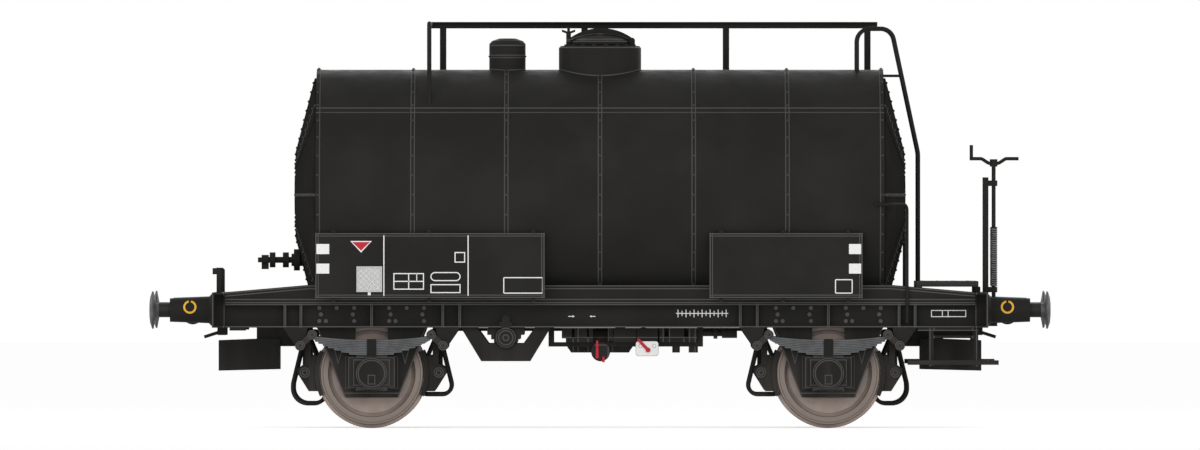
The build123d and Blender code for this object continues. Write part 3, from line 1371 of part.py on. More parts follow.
def leaf_springs():
    """Leaf packs with upturned eyes at their ends and a buckle round their middle."""
    count = len(LEAF_HALF_LENGTHS)
    half_length = LEAF_HALF_LENGTHS[0]
    middle = SPRING_SEAT_Z + BUCKLE_WALL + (count - 0.5) * LEAF_DEPTH
    rise = SPRING_EYE_Z - EYE_R + LEAF_DEPTH / 2 - middle
    curve_r = (half_length ** 2 + rise ** 2) / (2 * rise)
    centre_z = middle + curve_r
    width = span(SPRING_Y, SPRING_WIDTH)

    def leaf(number, half):
        inner = curve_r + (number - 0.5) * LEAF_DEPTH
        outer = inner + LEAF_DEPTH
        ends = [centre_z - sqrt(radius ** 2 - half ** 2) for radius in (inner, outer)]
        outline = make_face([
            ThreePointArc((-half, ends[0]), (0, centre_z - inner), (half, ends[0])),
            Line((half, ends[0]), (half, ends[1])),
            ThreePointArc((half, ends[1]), (0, centre_z - outer), (-half, ends[1])),
            Line((-half, ends[1]), (-half, ends[0])),
        ])
        return side_plate(outline, width)

    spring = None
    for number, half in enumerate(LEAF_HALF_LENGTHS):
        piece = leaf(number, half)
        spring = piece if spring is None else spring + piece
    buckle_y = span(SPRING_Y, SPRING_WIDTH + 2 * BUCKLE_WALL)
    spring += block(span(0, BUCKLE_WIDTH), buckle_y, (SPRING_SEAT_Z, BUCKLE_TOP))
    for x in (-half_length, half_length):
        spring += bar((x, width[0], SPRING_EYE_Z), (x, width[1], SPRING_EYE_Z), EYE_R)
    for x in (-half_length, half_length):
        spring -= bar((x, width[0], SPRING_EYE_Z), (x, width[1], SPRING_EYE_Z), PIN_R + PIN_CLEARANCE)
    return all_corners(Pos(AXLE_X, 0, 0) * spring)


def spring_ends(piece):
    """Piece at the outer end of a spring, repeated at both ends of all four springs."""
    pair = both_ends(piece)
    return all_corners(*[Pos(AXLE_X, 0, 0) * solid for solid in pair])


def spring_shackles():
    """Pairs of links with round eyes and headed pins, from the spring eyes to the brackets."""
    eye_x = LEAF_HALF_LENGTHS[0]
    run_x = SHACKLE_PIN_OFFSET - eye_x
    run_z = SHACKLE_PIN_Z - SPRING_EYE_Z
    length = hypot(run_x, run_z)
    link_outline = SlotCenterToCenter(length, 2 * SHACKLE_R)
    angle = degrees(asin(run_z / length))
    middle = ((eye_x + SHACKLE_PIN_OFFSET) / 2, (SPRING_EYE_Z + SHACKLE_PIN_Z) / 2)
    link_outline = Pos(*middle) * Rot(0, 0, angle) * link_outline
    pins = ((eye_x, SPRING_EYE_Z), (SHACKLE_PIN_OFFSET, SHACKLE_PIN_Z))
    for pin in pins:
        link_outline += Pos(*pin) * Circle(SHACKLE_EYE_R)
    inner = SPRING_WIDTH / 2 + SHACKLE_GAP
    outer = inner + SHACKLE_PLATE
    shackle = side_plate(link_outline, (SPRING_Y + inner, SPRING_Y + outer))
    shackle += side_plate(link_outline, (SPRING_Y - outer, SPRING_Y - inner))
    head_y = (SPRING_Y + outer, SPRING_Y + outer + SHACKLE_PIN_HEAD)
    for x, z in pins:
        shackle += bar((x, SPRING_Y - outer, z), (x, SPRING_Y + outer, z), PIN_R)
        shackle += bar((x, head_y[0], z), (x, head_y[1], z), PIN_HEAD_R)
    return spring_ends(shackle)


def spring_brackets():
    """Castings under the sole bars, bored for the shackle pins."""
    boss = Pos(SHACKLE_PIN_OFFSET, SHACKLE_PIN_Z) * Circle(BRACKET_BOSS_R)
    body = polygon(
        (BRACKET_TOP_OUTER, SOLE_BOTTOM),
        (BRACKET_TOP_INNER, SOLE_BOTTOM),
        (SHACKLE_PIN_OFFSET - BRACKET_NECK, SHACKLE_PIN_Z),
        (SHACKLE_PIN_OFFSET + BRACKET_NECK, SHACKLE_PIN_Z),
    )
    hole = Pos(SHACKLE_PIN_OFFSET, SHACKLE_PIN_Z) * Circle(PIN_R + PIN_CLEARANCE)
    return spring_ends(side_plate(body + boss - hole, span(SPRING_Y, BRACKET_CASTING)))


# Brakes

def block_places(piece):
    """Piece made at the outer side of a wheel, repeated at both sides of all four wheels."""
    return all_corners(*[Pos(AXLE_X, 0, 0) * solid for solid in both_ends(piece)])


def arc_point(radius, angle):
    """Point on a circle about the axle, by its angle from the horizontal."""
    return radius * cos(radians(angle)), AXLE_Z + radius * sin(radians(angle))


def brake_blocks():
    """Curved blocks facing the treads."""
    inner = TREAD_R + BLOCK_CLEARANCE
    outer = inner + BLOCK_DEPTH
    outline = make_face([
        ThreePointArc(*[arc_point(inner, angle) for angle in (-BLOCK_ANGLE, 0, BLOCK_ANGLE)]),
        Line(arc_point(inner, BLOCK_ANGLE), arc_point(outer, BLOCK_ANGLE)),
        ThreePointArc(*[arc_point(outer, angle) for angle in (BLOCK_ANGLE, 0, -BLOCK_ANGLE)]),
        Line(arc_point(outer, -BLOCK_ANGLE), arc_point(inner, -BLOCK_ANGLE)),
    ])
    return block_places(side_plate(outline, span(BLOCK_Y, BLOCK_WIDTH)))


def block_holders():
    """Holders behind the blocks, bored for the hanger's pin, with a boss at the beam's end."""
    back = TREAD_R + BLOCK_CLEARANCE + BLOCK_DEPTH
    angle = degrees(asin(HOLDER_HALF / back))
    low = arc_point(back, -angle)
    high = arc_point(back, angle)
    neck = BEAM_OFFSET + HOLDER_NECK
    outline = make_face([
        ThreePointArc(low, (back, AXLE_Z), high),
        Line(high, (HANGER_OFFSET - HANGER_WIDTH / 2, high[1])),
        Line((HANGER_OFFSET - HANGER_WIDTH / 2, high[1]), (HANGER_OFFSET + HANGER_PIN_R, HANGER_PIN_Z)),
        Line((HANGER_OFFSET + HANGER_PIN_R, HANGER_PIN_Z), (neck, AXLE_Z + HOLDER_BOSS_R)),
        Line((neck, AXLE_Z + HOLDER_BOSS_R), (neck, AXLE_Z)),
        Line((neck, AXLE_Z), (low[0] + HOLDER_FOOT, low[1])),
        Line((low[0] + HOLDER_FOOT, low[1]), low),
    ])
    width = span(BLOCK_Y, HOLDER_WIDTH)
    hole_r = HANGER_PIN_R + PIN_CLEARANCE
    holder = side_plate(outline, width)
    holder -= bar((HANGER_OFFSET, width[0], HANGER_PIN_Z), (HANGER_OFFSET, width[1], HANGER_PIN_Z), hole_r)
    holder += bar((BEAM_OFFSET, width[1], AXLE_Z), (BEAM_OFFSET, width[1] + HOLDER_BOSS, AXLE_Z), HOLDER_BOSS_R)
    return block_places(holder)


def brake_hangers():
    """Flat links from the bearers to the holders, each with its pin."""
    inner_y, outer_y = span(BLOCK_Y, HOLDER_WIDTH)
    plate_y = (outer_y, outer_y + HANGER_THICKNESS)
    half = HANGER_WIDTH / 2
    hanger = block((HANGER_OFFSET - half, HANGER_OFFSET + half), plate_y, (HANGER_PIN_Z, SOLE_BOTTOM))
    hanger += bar((HANGER_OFFSET, plate_y[0], HANGER_PIN_Z), (HANGER_OFFSET, plate_y[1], HANGER_PIN_Z), half)
    hanger += bar((HANGER_OFFSET, inner_y, HANGER_PIN_Z), (HANGER_OFFSET, plate_y[1], HANGER_PIN_Z), HANGER_PIN_R)
    return block_places(hanger)


def brake_beams():
    """Round beams across the car between the block holders."""
    reach = BLOCK_Y - HOLDER_WIDTH / 2
    places = [side * AXLE_X + offset * BEAM_OFFSET for side in (-1, 1) for offset in (-1, 1)]
    return [bar((x, -reach, AXLE_Z), (x, reach, AXLE_Z), BEAM_R) for x in places]


def safety_loops():
    """Bent bars hung from the bearers under the brake beams, the outer ones lower."""
    loops = []
    for side, low_z, outer_bend, inner_bend in LOOPS:
        stations = (
            (LOOP_OUTER[0][0], SOLE_BOTTOM),
            *LOOP_OUTER,
            *[(foot, low_z) for foot in LOOP_FEET],
            *LOOP_INNER,
            (LOOP_INNER[-1][0], SOLE_BOTTOM),
        )
        bends = (*LOOP_OUTER_BENDS, outer_bend, inner_bend, *LOOP_INNER_BENDS)
        points = [(AXLE_X + side * x, LOOP_Y, z) for x, z in stations]
        loops.append(bent_bar(points, LOOP_R, bends))
    return all_corners(*loops)


def lever_outline(top):
    """Lever bent below the beam it turns on, drawn at the outer side of a wheel."""
    feet = span(LEVER_LOW_OFFSET, LEVER_WIDTH)
    arms = span(BEAM_OFFSET, LEVER_WIDTH)
    outline = polygon(
        (feet[0], LEVER_LOW_Z),
        (feet[1], LEVER_LOW_Z),
        (feet[1], LEVER_SHOULDER_Z),
        (arms[1], AXLE_Z),
        (arms[1], top),
        (arms[0], top),
        (arms[0], AXLE_Z),
        (feet[0], LEVER_SHOULDER_Z),
    )
    beam = Pos(BEAM_OFFSET, AXLE_Z)
    return outline + beam * Circle(LEVER_EYE_R) - beam * Circle(BEAM_R + PIN_CLEARANCE)


def brake_levers():
    """Levers on the brake beams, the outer ones held by the bearers, and the cylinder's cross lever."""
    thickness = span(LEVER_Y, LEVER_THICKNESS)
    outer = side_plate(lever_outline(SOLE_BOTTOM), thickness)
    inner = mirror(side_plate(lever_outline(LEVER_TOP_Z), thickness), about=Plane.YZ)
    cross_y = (LEVER_Y - LEVER_WIDTH, CYLINDER_Y + LEVER_WIDTH / 2)
    cross_z = (CYLINDER_Z - LEVER_WIDTH / 2, LEVER_TOP_Z)
    cross = block(span(CROSS_LEVER_X, CROSS_LEVER_THICKNESS), cross_y, cross_z)
    return both_ends(Pos(AXLE_X, 0, 0) * outer, Pos(AXLE_X, 0, 0) * inner) + [cross]


def brake_rods():
    """Tie rods under the axles, pull rods to the cross lever, and the cylinder's piston rod."""
    foot = LEVER_LOW_OFFSET - LEVER_WIDTH / 2
    lever_back = AXLE_X - BEAM_OFFSET - LEVER_WIDTH / 2
    cross = span(CROSS_LEVER_X, CROSS_LEVER_THICKNESS)
    ties = both_ends(bar((AXLE_X - foot, LEVER_Y, TIE_Z), (AXLE_X + foot, LEVER_Y, TIE_Z), ROD_R))
    pulls = [
        bar((-lever_back, LEVER_Y, PULL_Z), (cross[0], LEVER_Y, PULL_Z), ROD_R),
        bar((cross[1], LEVER_Y, PULL_Z), (lever_back, LEVER_Y, PULL_Z), ROD_R),
    ]
    piston = bar((CYLINDER_ENDS[1], CYLINDER_Y, CYLINDER_Z), (cross[0], CYLINDER_Y, CYLINDER_Z), ROD_R)
    return ties + pulls + [piston]


def brake_cylinder():
    """Brake cylinder hung from a light bearer."""
    start, end = CYLINDER_ENDS
    dish = CYLINDER_R / 3
    body = turned(
        (start, 0),
        (start, CYLINDER_R - dish),
        (start + dish, CYLINDER_R),
        (end - dish, CYLINDER_R),
        (end, CYLINDER_R - dish),
        (end, 0),
    )
    body = Pos(0, CYLINDER_Y, CYLINDER_Z) * body
    bearer = LIGHT_BEARER_PLACES[1]
    lug_x = (bearer - LIGHT_BEARER_WIDTH, bearer)
    body += block((lug_x[0] - dish, lug_x[1]), span(CYLINDER_Y, dish), (CYLINDER_Z, SOLE_BOTTOM))
    return [body]


def air_reservoir():
    """Round reservoir with dished ends, strapped to the carrier."""
    start, end = RESERVOIR_ENDS
    tank = turned(
        (start, 0),
        (start, RESERVOIR_END_R),
        (start + RESERVOIR_DISH, RESERVOIR_R),
        (end - RESERVOIR_DISH, RESERVOIR_R),
        (end, RESERVOIR_END_R),
        (end, 0),
    )
    tank = Pos(0, RESERVOIR_Y, RESERVOIR_Z) * tank
    for x in RESERVOIR_STRAPS:
        lug_z = (CARRIER_BOTTOM, CARRIER_BOTTOM + CARRIER_BAR)
        tank += block(span(x, RESERVOIR_STRAP), (CARRIER_Y[1], RESERVOIR_Y), lug_z)
    return [tank]


def gear_carrier():
    """Hanger frame under the light bearers that carries the brake gear."""
    start, end = CARRIER_ENDS
    bottom = (CARRIER_BOTTOM, CARRIER_BOTTOM + CARRIER_BAR)
    frame = block((start, end), CARRIER_Y, bottom)
    for leg in ((start, start + CARRIER_LEG), (end - CARRIER_LEG, end)):
        frame += block(leg, CARRIER_Y, (CARRIER_BOTTOM, SOLE_BOTTOM))
    return [frame]


def brake_valves():
    """Distributor, valve bodies, drain cups and slack adjuster round the carrier."""
    front = CARRIER_Y[0]
    distributor = bar(
        (DISTRIBUTOR_X, front, DISTRIBUTOR_Z),
        (DISTRIBUTOR_X, front - DISTRIBUTOR_DEPTH, DISTRIBUTOR_Z),
        DISTRIBUTOR_R,
    )
    bodies = []
    for stack in VALVES:
        pieces = [block((start, end), (front - reach, CARRIER_Y[1]), (low, high))
                  for start, end, low, high, reach in stack]
        bodies.append(pieces[0].fuse(*pieces[1:]))
    middle = sum(CARRIER_Y) / 2
    cups = [bar((x, middle, DRAIN_CUP_BOTTOM), (x, middle, CARRIER_BOTTOM), radius) for x, radius in DRAIN_CUPS]
    start = CARRIER_ENDS[1]
    end = start + ADJUSTER_LENGTH
    adjuster = None
    for low, high, radius in (
        (start, end, ADJUSTER_R),
        (*ADJUSTER_DISC, ADJUSTER_DISC_R),
        (end - ADJUSTER_BODY_LENGTH, end, ADJUSTER_BODY_R),
    ):
        stretch = bar((low, middle, ADJUSTER_Z), (high, middle, ADJUSTER_Z), radius)
        adjuster = stretch if adjuster is None else adjuster + stretch
    return [distributor, adjuster] + bodies + cups


def changeover_plate():
    """Plate with rounded corners, on a stub from the carrier."""
    width = PLATE_X[1] - PLATE_X[0]
    height = PLATE_Z[1] - PLATE_Z[0]
    outline = Pos(sum(PLATE_X) / 2, sum(PLATE_Z) / 2) * RectangleRounded(width, height, PLATE_CORNER)
    back = CARRIER_Y[0] - PLATE_STAND_OFF
    plate = side_plate(outline, (back - PLATE_THICKNESS, back))
    stub_z = (CARRIER_BOTTOM, CARRIER_BOTTOM + CARRIER_BAR)
    plate += block(span(sum(PLATE_X) / 2, CARRIER_BAR), (back, CARRIER_Y[0]), stub_z)
    return [plate]


def setting_levers():
    """Hand levers on the distributor, and a selector with a round hub on the changeover plate."""
    face = CARRIER_Y[0] - DISTRIBUTOR_DEPTH
    levers = []
    for middle, low, high, low_width, high_width in HAND_LEVERS:
        feet = span(middle, low_width)
        heads = span(middle, high_width)
        outline = polygon((feet[0], low), (feet[1], low), (heads[1], high), (heads[0], high))
        levers.append(side_plate(outline, (face - HAND_LEVER, face)))
    run_x = SELECTOR_TIP[0] - SELECTOR_PIVOT[0]
    run_z = SELECTOR_TIP[1] - SELECTOR_PIVOT[1]
    length = hypot(run_x, run_z)
    arm = Rot(0, 0, -degrees(asin(run_z / length))) * SlotCenterToCenter(length - SELECTOR_WIDTH, SELECTOR_WIDTH)
    arm = Pos(SELECTOR_PIVOT[0] + run_x / 2, SELECTOR_PIVOT[1] + run_z / 2) * arm
    arm += Pos(*SELECTOR_PIVOT) * Circle(SELECTOR_HUB_R)
    plate_face = CARRIER_Y[0] - PLATE_STAND_OFF - PLATE_THICKNESS
    return levers + [side_plate(arm, (plate_face - HAND_LEVER, plate_face))]


def brake_pipe_cocks():
    """Cocks under the headstocks with slanted pipe ends."""
    middle = (COCK_X[0] + COCK_X[1]) / 2
    cock = block(COCK_X, span(COCK_Y, COCK_WIDTH), (COCK_BOTTOM, SOLE_BOTTOM))
    start_z = (COCK_BOTTOM + SOLE_BOTTOM) / 2
    end = (COCK_X[1] + COCK_PIPE_REACH, COCK_Y, start_z - COCK_PIPE_DROP)
    cock += bar((middle, COCK_Y, start_z), end, COCK_PIPE_R)
    return all_corners(cock)


# Buffers, hooks, end boxes and steps

def buffer_places(piece):
    return all_corners(Pos(0, BUFFER_Y, BUFFER_Z) * piece)


def buffer_housings():
    """Tapered housings with a base flange, bored for the plungers."""
    start = HEADSTOCK_FACE
    shoulder = start + HOUSING_FLANGE
    end = start + HOUSING_LENGTH
    bore_r = PLUNGER_R + PLUNGER_CLEARANCE
    bore_floor = end - HOUSING_BORE_DEPTH
    return buffer_places(turned(
        (start, 0),
        (start, HOUSING_FLANGE_R),
        (shoulder, HOUSING_BACK_R),
        (end, HOUSING_FRONT_R),
        (end, bore_r),
        (bore_floor, bore_r),
        (bore_floor, 0),
    ))


def buffer_plungers():
    """Plungers with low-domed round heads."""
    face = LENGTH_OVER_BUFFERS / 2
    back = face - BUFFER_HEAD_DEPTH
    start = HEADSTOCK_FACE + HOUSING_LENGTH - PLUNGER_HELD
    rim = back + BUFFER_HEAD_BACK
    return buffer_places(turned(
        (start, 0),
        (start, PLUNGER_R),
        (back, PLUNGER_R),
        (rim, BUFFER_HEAD_R),
        (rim + BUFFER_HEAD_RIM, BUFFER_HEAD_R),
        (face - BUFFER_HEAD_CROWN, (BUFFER_HEAD_R + BUFFER_HEAD_FLAT_R) / 2),
        (face, BUFFER_HEAD_FLAT_R),
        (face, 0),
    ))


def draw_hooks():
    """Forged hooks with their shanks through the headstocks."""
    tip = HEADSTOCK_FACE + HOOK_REACH
    tail = HEADSTOCK_BACK - HOOK_TAIL
    bowl_z = BUFFER_Z - HOOK_DROP
    shank = Rectangle(tip - tail, HOOK_SHANK_HEIGHT, align=(Align.MIN, Align.CENTER))
    outline = Pos(tail, BUFFER_Z) * shank + Pos(tip, bowl_z) * Circle(HOOK_R)
    nose = Rectangle(HOOK_R - HOOK_THROAT_R, HOOK_R, align=(Align.MAX, Align.MIN))
    outline += Pos(tip + HOOK_R, bowl_z) * nose
    throat = Circle(HOOK_THROAT_R) + Rectangle(2 * HOOK_THROAT_R, 2 * HOOK_R, align=(Align.CENTER, Align.MIN))
    outline -= Pos(tip, bowl_z + HOOK_THROAT_R / 3) * throat
    return both_ends(side_plate(outline, (-HOOK_Y, HOOK_Y)))


def end_box_hangers():
    """Brackets under the centre sills that carry the end boxes."""
    outline = polygon(
        (END_HANGER_X[0], SOLE_BOTTOM),
        (END_HANGER_X[1], SOLE_BOTTOM),
        (END_HANGER_X[1], END_BOX_Z[1]),
        (END_BOX_X[0], END_BOX_Z[1]),
        (END_BOX_X[0], END_HANGER_LOW_Z),
        (END_HANGER_X[0], END_HANGER_LOW_Z),
    )
    return both_ends(side_plate(outline, (-END_HANGER_HALF, END_HANGER_HALF)))


def end_boxes():
    """Tapered boxes hung under both ends."""
    low, high = END_BOX_Z
    outline = polygon(
        (END_BOX_X[0], low + END_BOX_TAPER / 2),
        (END_BOX_X[1], low),
        (END_BOX_X[1], high - END_BOX_TAPER / 2),
        (END_HANGER_X[1], high),
        (END_BOX_X[0], high),
    )
    return both_ends(side_plate(outline, (-END_BOX_HALF, END_BOX_HALF)))


def step_hangers():
    """Bent irons under the sole bars with a flat along the top and a tie between them."""
    back = (STEP_HANGER_Y, STEP_HANGER_Y + STEP_HANGER_THICKNESS)
    foot_y = (STEP_HANGER_Y, back[1] + STEP_WIDTH)
    irons = block(STEP_FLAT_X, back, (STEP_FLAT_Z, SOLE_BOTTOM))
    irons += block(STEP_HANGERS, back, (STEP_TIE_Z, STEP_TIE_Z + STEP_TIE_HEIGHT))
    for x in STEP_HANGERS:
        width = span(x, STEP_HANGER_WIDTH)
        irons += block(width, back, (STEP_Z - STEP_HANGER_THICKNESS, SOLE_BOTTOM))
        irons += block(width, foot_y, (STEP_Z - STEP_HANGER_THICKNESS, STEP_Z))
    return both_sides(irons)


def step_boards():
    """Boards on the step hangers' feet."""
    inner = STEP_HANGER_Y + STEP_HANGER_THICKNESS
    return both_sides(block(STEP_X, (inner, inner + STEP_WIDTH), (STEP_Z, STEP_Z + STEP_DEPTH)))


TANK_ENDS = tank_ends()

NODES = {
    "sole_bars": sole_bars(),
    "headstocks": headstocks(),
    "cross_bearers": cross_bearers(),
    "centre_sills": centre_sills(),
    "cradle_beams": cradle_beams(),
    "tank_seats": tank_seats(),
    "tank_barrel": tank_barrel(),
    "tank_ends": TANK_ENDS,
    "manhole_dome": manhole_dome(),
    "manhole_lid": manhole_lid(),
    "vent_dome": vent_dome(),
    "heating_pipe": heating_pipe(TANK_ENDS[1]),
    "outlet_pipe": outlet_pipe(),
    "outlet_guards": outlet_guards(),
    "walkway": walkway(),
    "walkway_brackets": walkway_brackets(),
    "handrail_posts": handrail_posts(),
    "handrail": handrail(),
    "end_rail": end_rail(),
    "ladder_stiles": ladder_stiles(),
    "ladder_rungs": ladder_rungs(),
    "end_platform": end_platform(),
    "platform_supports": platform_supports(),
    "grab_rails": grab_rails(),
    "handbrake_post": handbrake_post(),
    "handbrake_spindle": handbrake_spindle(),
    "lamp_irons": lamp_irons(),
    "name_boards": name_boards(),
    "board_brackets": board_brackets(),
    "card_holders": card_holders(),
    "wheels_left": wheel_pair(-1),
    "wheels_right": wheel_pair(1),
    "axle_left": axle(-1),
    "axle_right": axle(1),
    "axle_guards": axle_guards(),
    "axle_boxes": axle_boxes(),
    "leaf_springs": leaf_springs(),
    "spring_shackles": spring_shackles(),
    "spring_brackets": spring_brackets(),
    "brake_blocks": brake_blocks(),
    "block_holders": block_holders(),
    "brake_hangers": brake_hangers(),
    "brake_beams": brake_beams(),
    "safety_loops": safety_loops(),
    "brake_levers": brake_levers(),
    "brake_rods": brake_rods(),
    "brake_cylinder": brake_cylinder(),
    "air_reservoir": air_reservoir(),
    "gear_carrier": gear_carrier(),
    "brake_valves": brake_valves(),
    "changeover_plate": changeover_plate(),
    "setting_levers": setting_levers(),
    "brake_pipe_cocks": brake_pipe_cocks(),
    "buffer_housings": buffer_housings(),
    "buffer_plungers": buffer_plungers(),
    "draw_hooks": draw_hooks(),
    "end_box_hangers": end_box_hangers(),
    "end_boxes": end_boxes(),
    "step_hangers": step_hangers(),
    "step_boards": step_boards(),
}

os.makedirs("parts", exist_ok=True)
for name, pieces in NODES.items():
    solids = [solid for piece in pieces for solid in piece.solids()]
    export_step(Compound(solids), f"parts/{name}.step")
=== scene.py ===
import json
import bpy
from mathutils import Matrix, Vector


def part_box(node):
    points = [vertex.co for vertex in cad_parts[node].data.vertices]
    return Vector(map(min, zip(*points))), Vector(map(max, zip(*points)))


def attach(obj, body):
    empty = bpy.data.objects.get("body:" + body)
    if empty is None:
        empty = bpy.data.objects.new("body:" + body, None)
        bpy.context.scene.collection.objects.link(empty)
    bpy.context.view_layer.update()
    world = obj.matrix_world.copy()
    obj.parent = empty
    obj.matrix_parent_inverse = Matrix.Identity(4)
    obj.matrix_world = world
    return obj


bl_info = {
    "name": "Tank car finish",
    "version": (1, 0, 0),
    "blender": (4, 5, 0),
    "location": "View3D > Sidebar > Tank car",
    "description": "Paints the railway tank car and adds its rivets, bolts, marks and studio",
    "category": "Object",
}

from functools import partial
from math import ceil, cos, hypot, pi, radians, sin, sqrt

import bmesh
import bpy
from bpy.props import FloatProperty, FloatVectorProperty, IntProperty, PointerProperty
from bpy.types import Operator, Panel, PropertyGroup
from mathutils import Vector

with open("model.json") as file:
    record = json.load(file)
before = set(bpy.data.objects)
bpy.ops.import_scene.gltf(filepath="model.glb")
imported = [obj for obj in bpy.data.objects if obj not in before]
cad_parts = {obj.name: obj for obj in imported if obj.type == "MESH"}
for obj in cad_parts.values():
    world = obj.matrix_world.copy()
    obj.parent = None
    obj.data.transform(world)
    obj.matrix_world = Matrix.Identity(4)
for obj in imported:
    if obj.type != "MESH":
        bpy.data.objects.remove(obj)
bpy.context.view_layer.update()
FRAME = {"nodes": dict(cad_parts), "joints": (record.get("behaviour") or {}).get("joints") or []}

# Places read from the frame, in metres
NODES = FRAME["nodes"]
BARREL_LOW, BARREL_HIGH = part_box("tank_barrel")
TANK_AXIS_Z = (BARREL_LOW.z + BARREL_HIGH.z) / 2
BARREL_HALF = BARREL_HIGH.x
RIM_R = BARREL_HIGH.y
CAP_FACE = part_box("tank_ends")[1].x
CRADLE_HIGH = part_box("cradle_beams")[1]
BOARD_LOW, BOARD_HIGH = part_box("name_boards")
CARD_LOW, CARD_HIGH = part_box("card_holders")
SPRING_SEAT_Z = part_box("leaf_springs")[0].z
HOUSING_LOW, HOUSING_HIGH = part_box("buffer_housings")
HEADSTOCK_LOW, HEADSTOCK_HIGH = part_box("headstocks")
PLATE_LOW, PLATE_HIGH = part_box("changeover_plate")
DOME_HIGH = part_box("manhole_dome")[1]
WALKWAY_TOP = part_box("walkway")[1].z
PLATFORM_LOW, PLATFORM_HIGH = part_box("end_platform")
CARRIER_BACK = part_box("gear_carrier")[1].y
AXLE = {joint["child"]: Vector(joint["pos_m"]) for joint in FRAME["joints"]}
AXLE_X = AXLE["wheelset_right"].x
AXLE_Z = AXLE["wheelset_right"].z

# The four corners of the car, as signs along X and Y
CORNERS = ((-1, -1), (-1, 1), (1, -1), (1, 1))

# Half width of a painted line along an edge or ring; on the black paint these lines are painted
# highlights
LINE_HALF = 0.008

# Tank: its bands and seams, and the cone, flat, cap and straps of its ends
RIM_BAND = 0.040
HOOP_PITCH = 0.9225
HOOP_WIDTH = 0.036
HOOP_PROUD_R = RIM_R - 0.002
TANK_R = RIM_R - 0.010
HOOP_COUNT = 5
SEAM_Z = 3.134
SEAM_HEIGHT = 0.044
CONE_R = 1.155
CONE_START = BARREL_HALF + 0.015
STRAP_FACE = CAP_FACE - 0.008
FLAT_R = 0.420
CAP_R = 0.200
STRAP_ANGLES = (0, 50, 90, 130, 180, 230, 270, 310)
STRAP_WIDTH = 0.046
STRAP_PROUD = 0.010

# Place of the first rivet on an end's flat, in pitches
FLAT_START = 0.3

# Lines round the vent, above the tank's axis
VENT_LINES = (1.359, 1.382, 1.480)

# Manhole: lines round the lid and the dome, the bow of the lid's strongback, and the web under it
LID_LINES = (3.818, 3.840)
DOME_LINE_Z = 3.758
STRONGBACK_MIDDLE_Z = 3.095
STRONGBACK_UNDER_R = 0.799
WEB_X = (-0.300, 0.300)
WEB_LOW_Z = 3.791
WEB_FOOT_Z = 3.777
WEB_FOOT = 0.036
WEB_HALF = 0.006
WEB_STEPS = 24

# Brake gear: lines on its bodies, and the plate behind the valves
GEAR_LINES_X = (
    -0.389, -0.265, -0.216, -0.117, 0.080, 0.123,
    0.623, 0.685, 0.827, 0.882, 0.938,
)
GEAR_LINES_Z = (0.820, 0.894)
GEAR_PLATE_X = (0.335, 0.972)
GEAR_PLATE_Z = (0.840, 0.964)
GEAR_PLATE_DEPTH = 0.006

# Cover between the right end box and the frame, seated against the box's hanger
END_COVER_X = (3.370, 3.662)
END_COVER_Y = 0.185
END_COVER_Z = (0.888, 0.958)

# Lines along the edges of the step hangers
HANGER_LINES_X = (3.250, 3.290, 3.669, 3.709)
HANGER_LINES_Z = (0.966,)

# Buffers: where the heads begin
BUFFER_HEAD_X = 4.345

# Springs: the leaves' arc hangs from the eyes, and a buckle holds its middle
LEAF_DEPTH = 0.0165
LEAF_COUNT = 9
SPRING_HALF = 0.585
SPRING_EYE_Z = 0.923
SPRING_EYE_R = 0.032
LEAF_JOINT_HALF = 0.003
LEAF_END = 0.030
BUCKLE_WALL = 0.010
BUCKLE_HALF = 0.045
BUCKLE_EDGE = 0.001

# Wheels: radii of the turned rings, of the rim's face and of the tread's edge, and how they fade
WHEEL_RINGS = (0.503, 0.482, 0.429, 0.396)
RIM_FACE_R = 0.432
TREAD_EDGE_R = 0.500
RIM_FADE = 0.006
TREAD_FADE = 0.010
RING_SHARE = 0.85

# Axle boxes: steps before the guard, rings of the cover, and the small plate under it
BOX_STEPS = (
    # half width, bottom, top
    (0.259, 0.388, 0.709),
    (0.227, 0.404, 0.698),
    (0.177, 0.425, 0.675),
)
BOX_COVER_RINGS = (0.150, 0.131)
BOX_PLATE_HALF = (0.033, 0.043)
BOX_PLATE_Z = 0.480

# Axle guards: half width and height at the bottom and at the sole bar, the tie and the gussets
GUARD_LOW = (0.265, 0.303)
GUARD_TOP = (0.541, 0.992)
GUARD_TIE_Z = 0.346
GUSSET_X = 0.329
GUSSET_HALF = 0.041
GUSSET_Z = (0.635, 0.792)

# Shackle pins beside each axle, and the radii of their heads and eyes
SHACKLE_PINS = ((0.585, 0.923), (0.704, 0.814))
SHACKLE_RINGS = (0.024, 0.043)

# Pins of the block holders beside each axle
HOLDER_PIN = (0.661, 0.548)
HOLDER_RINGS = (0.046, 0.024)

# Outlet caps: middle and rings
OUTLET = (-0.928, 0.893)
OUTLET_RINGS = (0.094, 0.070, 0.028)

# Lines along the frame and the boards: heights, ribs from the axle, borders, and the boards' ends
SOLE_LINES = (1.001, 1.220)
RIBS_FROM_AXLE = (-0.868, -0.701, 0.0, 0.696, 0.854)
RIB_EDGE = 0.008
CRADLE_LINES = (1.238, 1.270)
CRADLE_FLAT = BARREL_HALF + 0.060
CRADLE_FLANGE = 0.035
BOARD_LINES = (0.008, 0.030)
BOARD_ENDS = (-2.803, -0.543, 1.076, 2.585)
BOARD_BORDER = 0.008

# Bolt heads on the sole bars beside each axle: height, places measured from the axle
GUARD_BOLTS = (
    # z, places along X
    (1.186, (-0.516, -0.345, -0.172, 0.172, 0.345, 0.516)),
    (1.122, (-0.500, -0.186, 0.186, 0.500)),
    (1.056, (-0.516, -0.450, -0.172, 0.172, 0.235, 0.516)),
)
SOLE_WEB_Y = 0.915

# Rivets of the name boards on the near side, and their distance from the boards' edges
BOARD_RIVETS_X = (-2.625, -1.682, -0.656, 1.194, 1.800, 2.442)
BOARD_RIVET_EDGE = 0.011

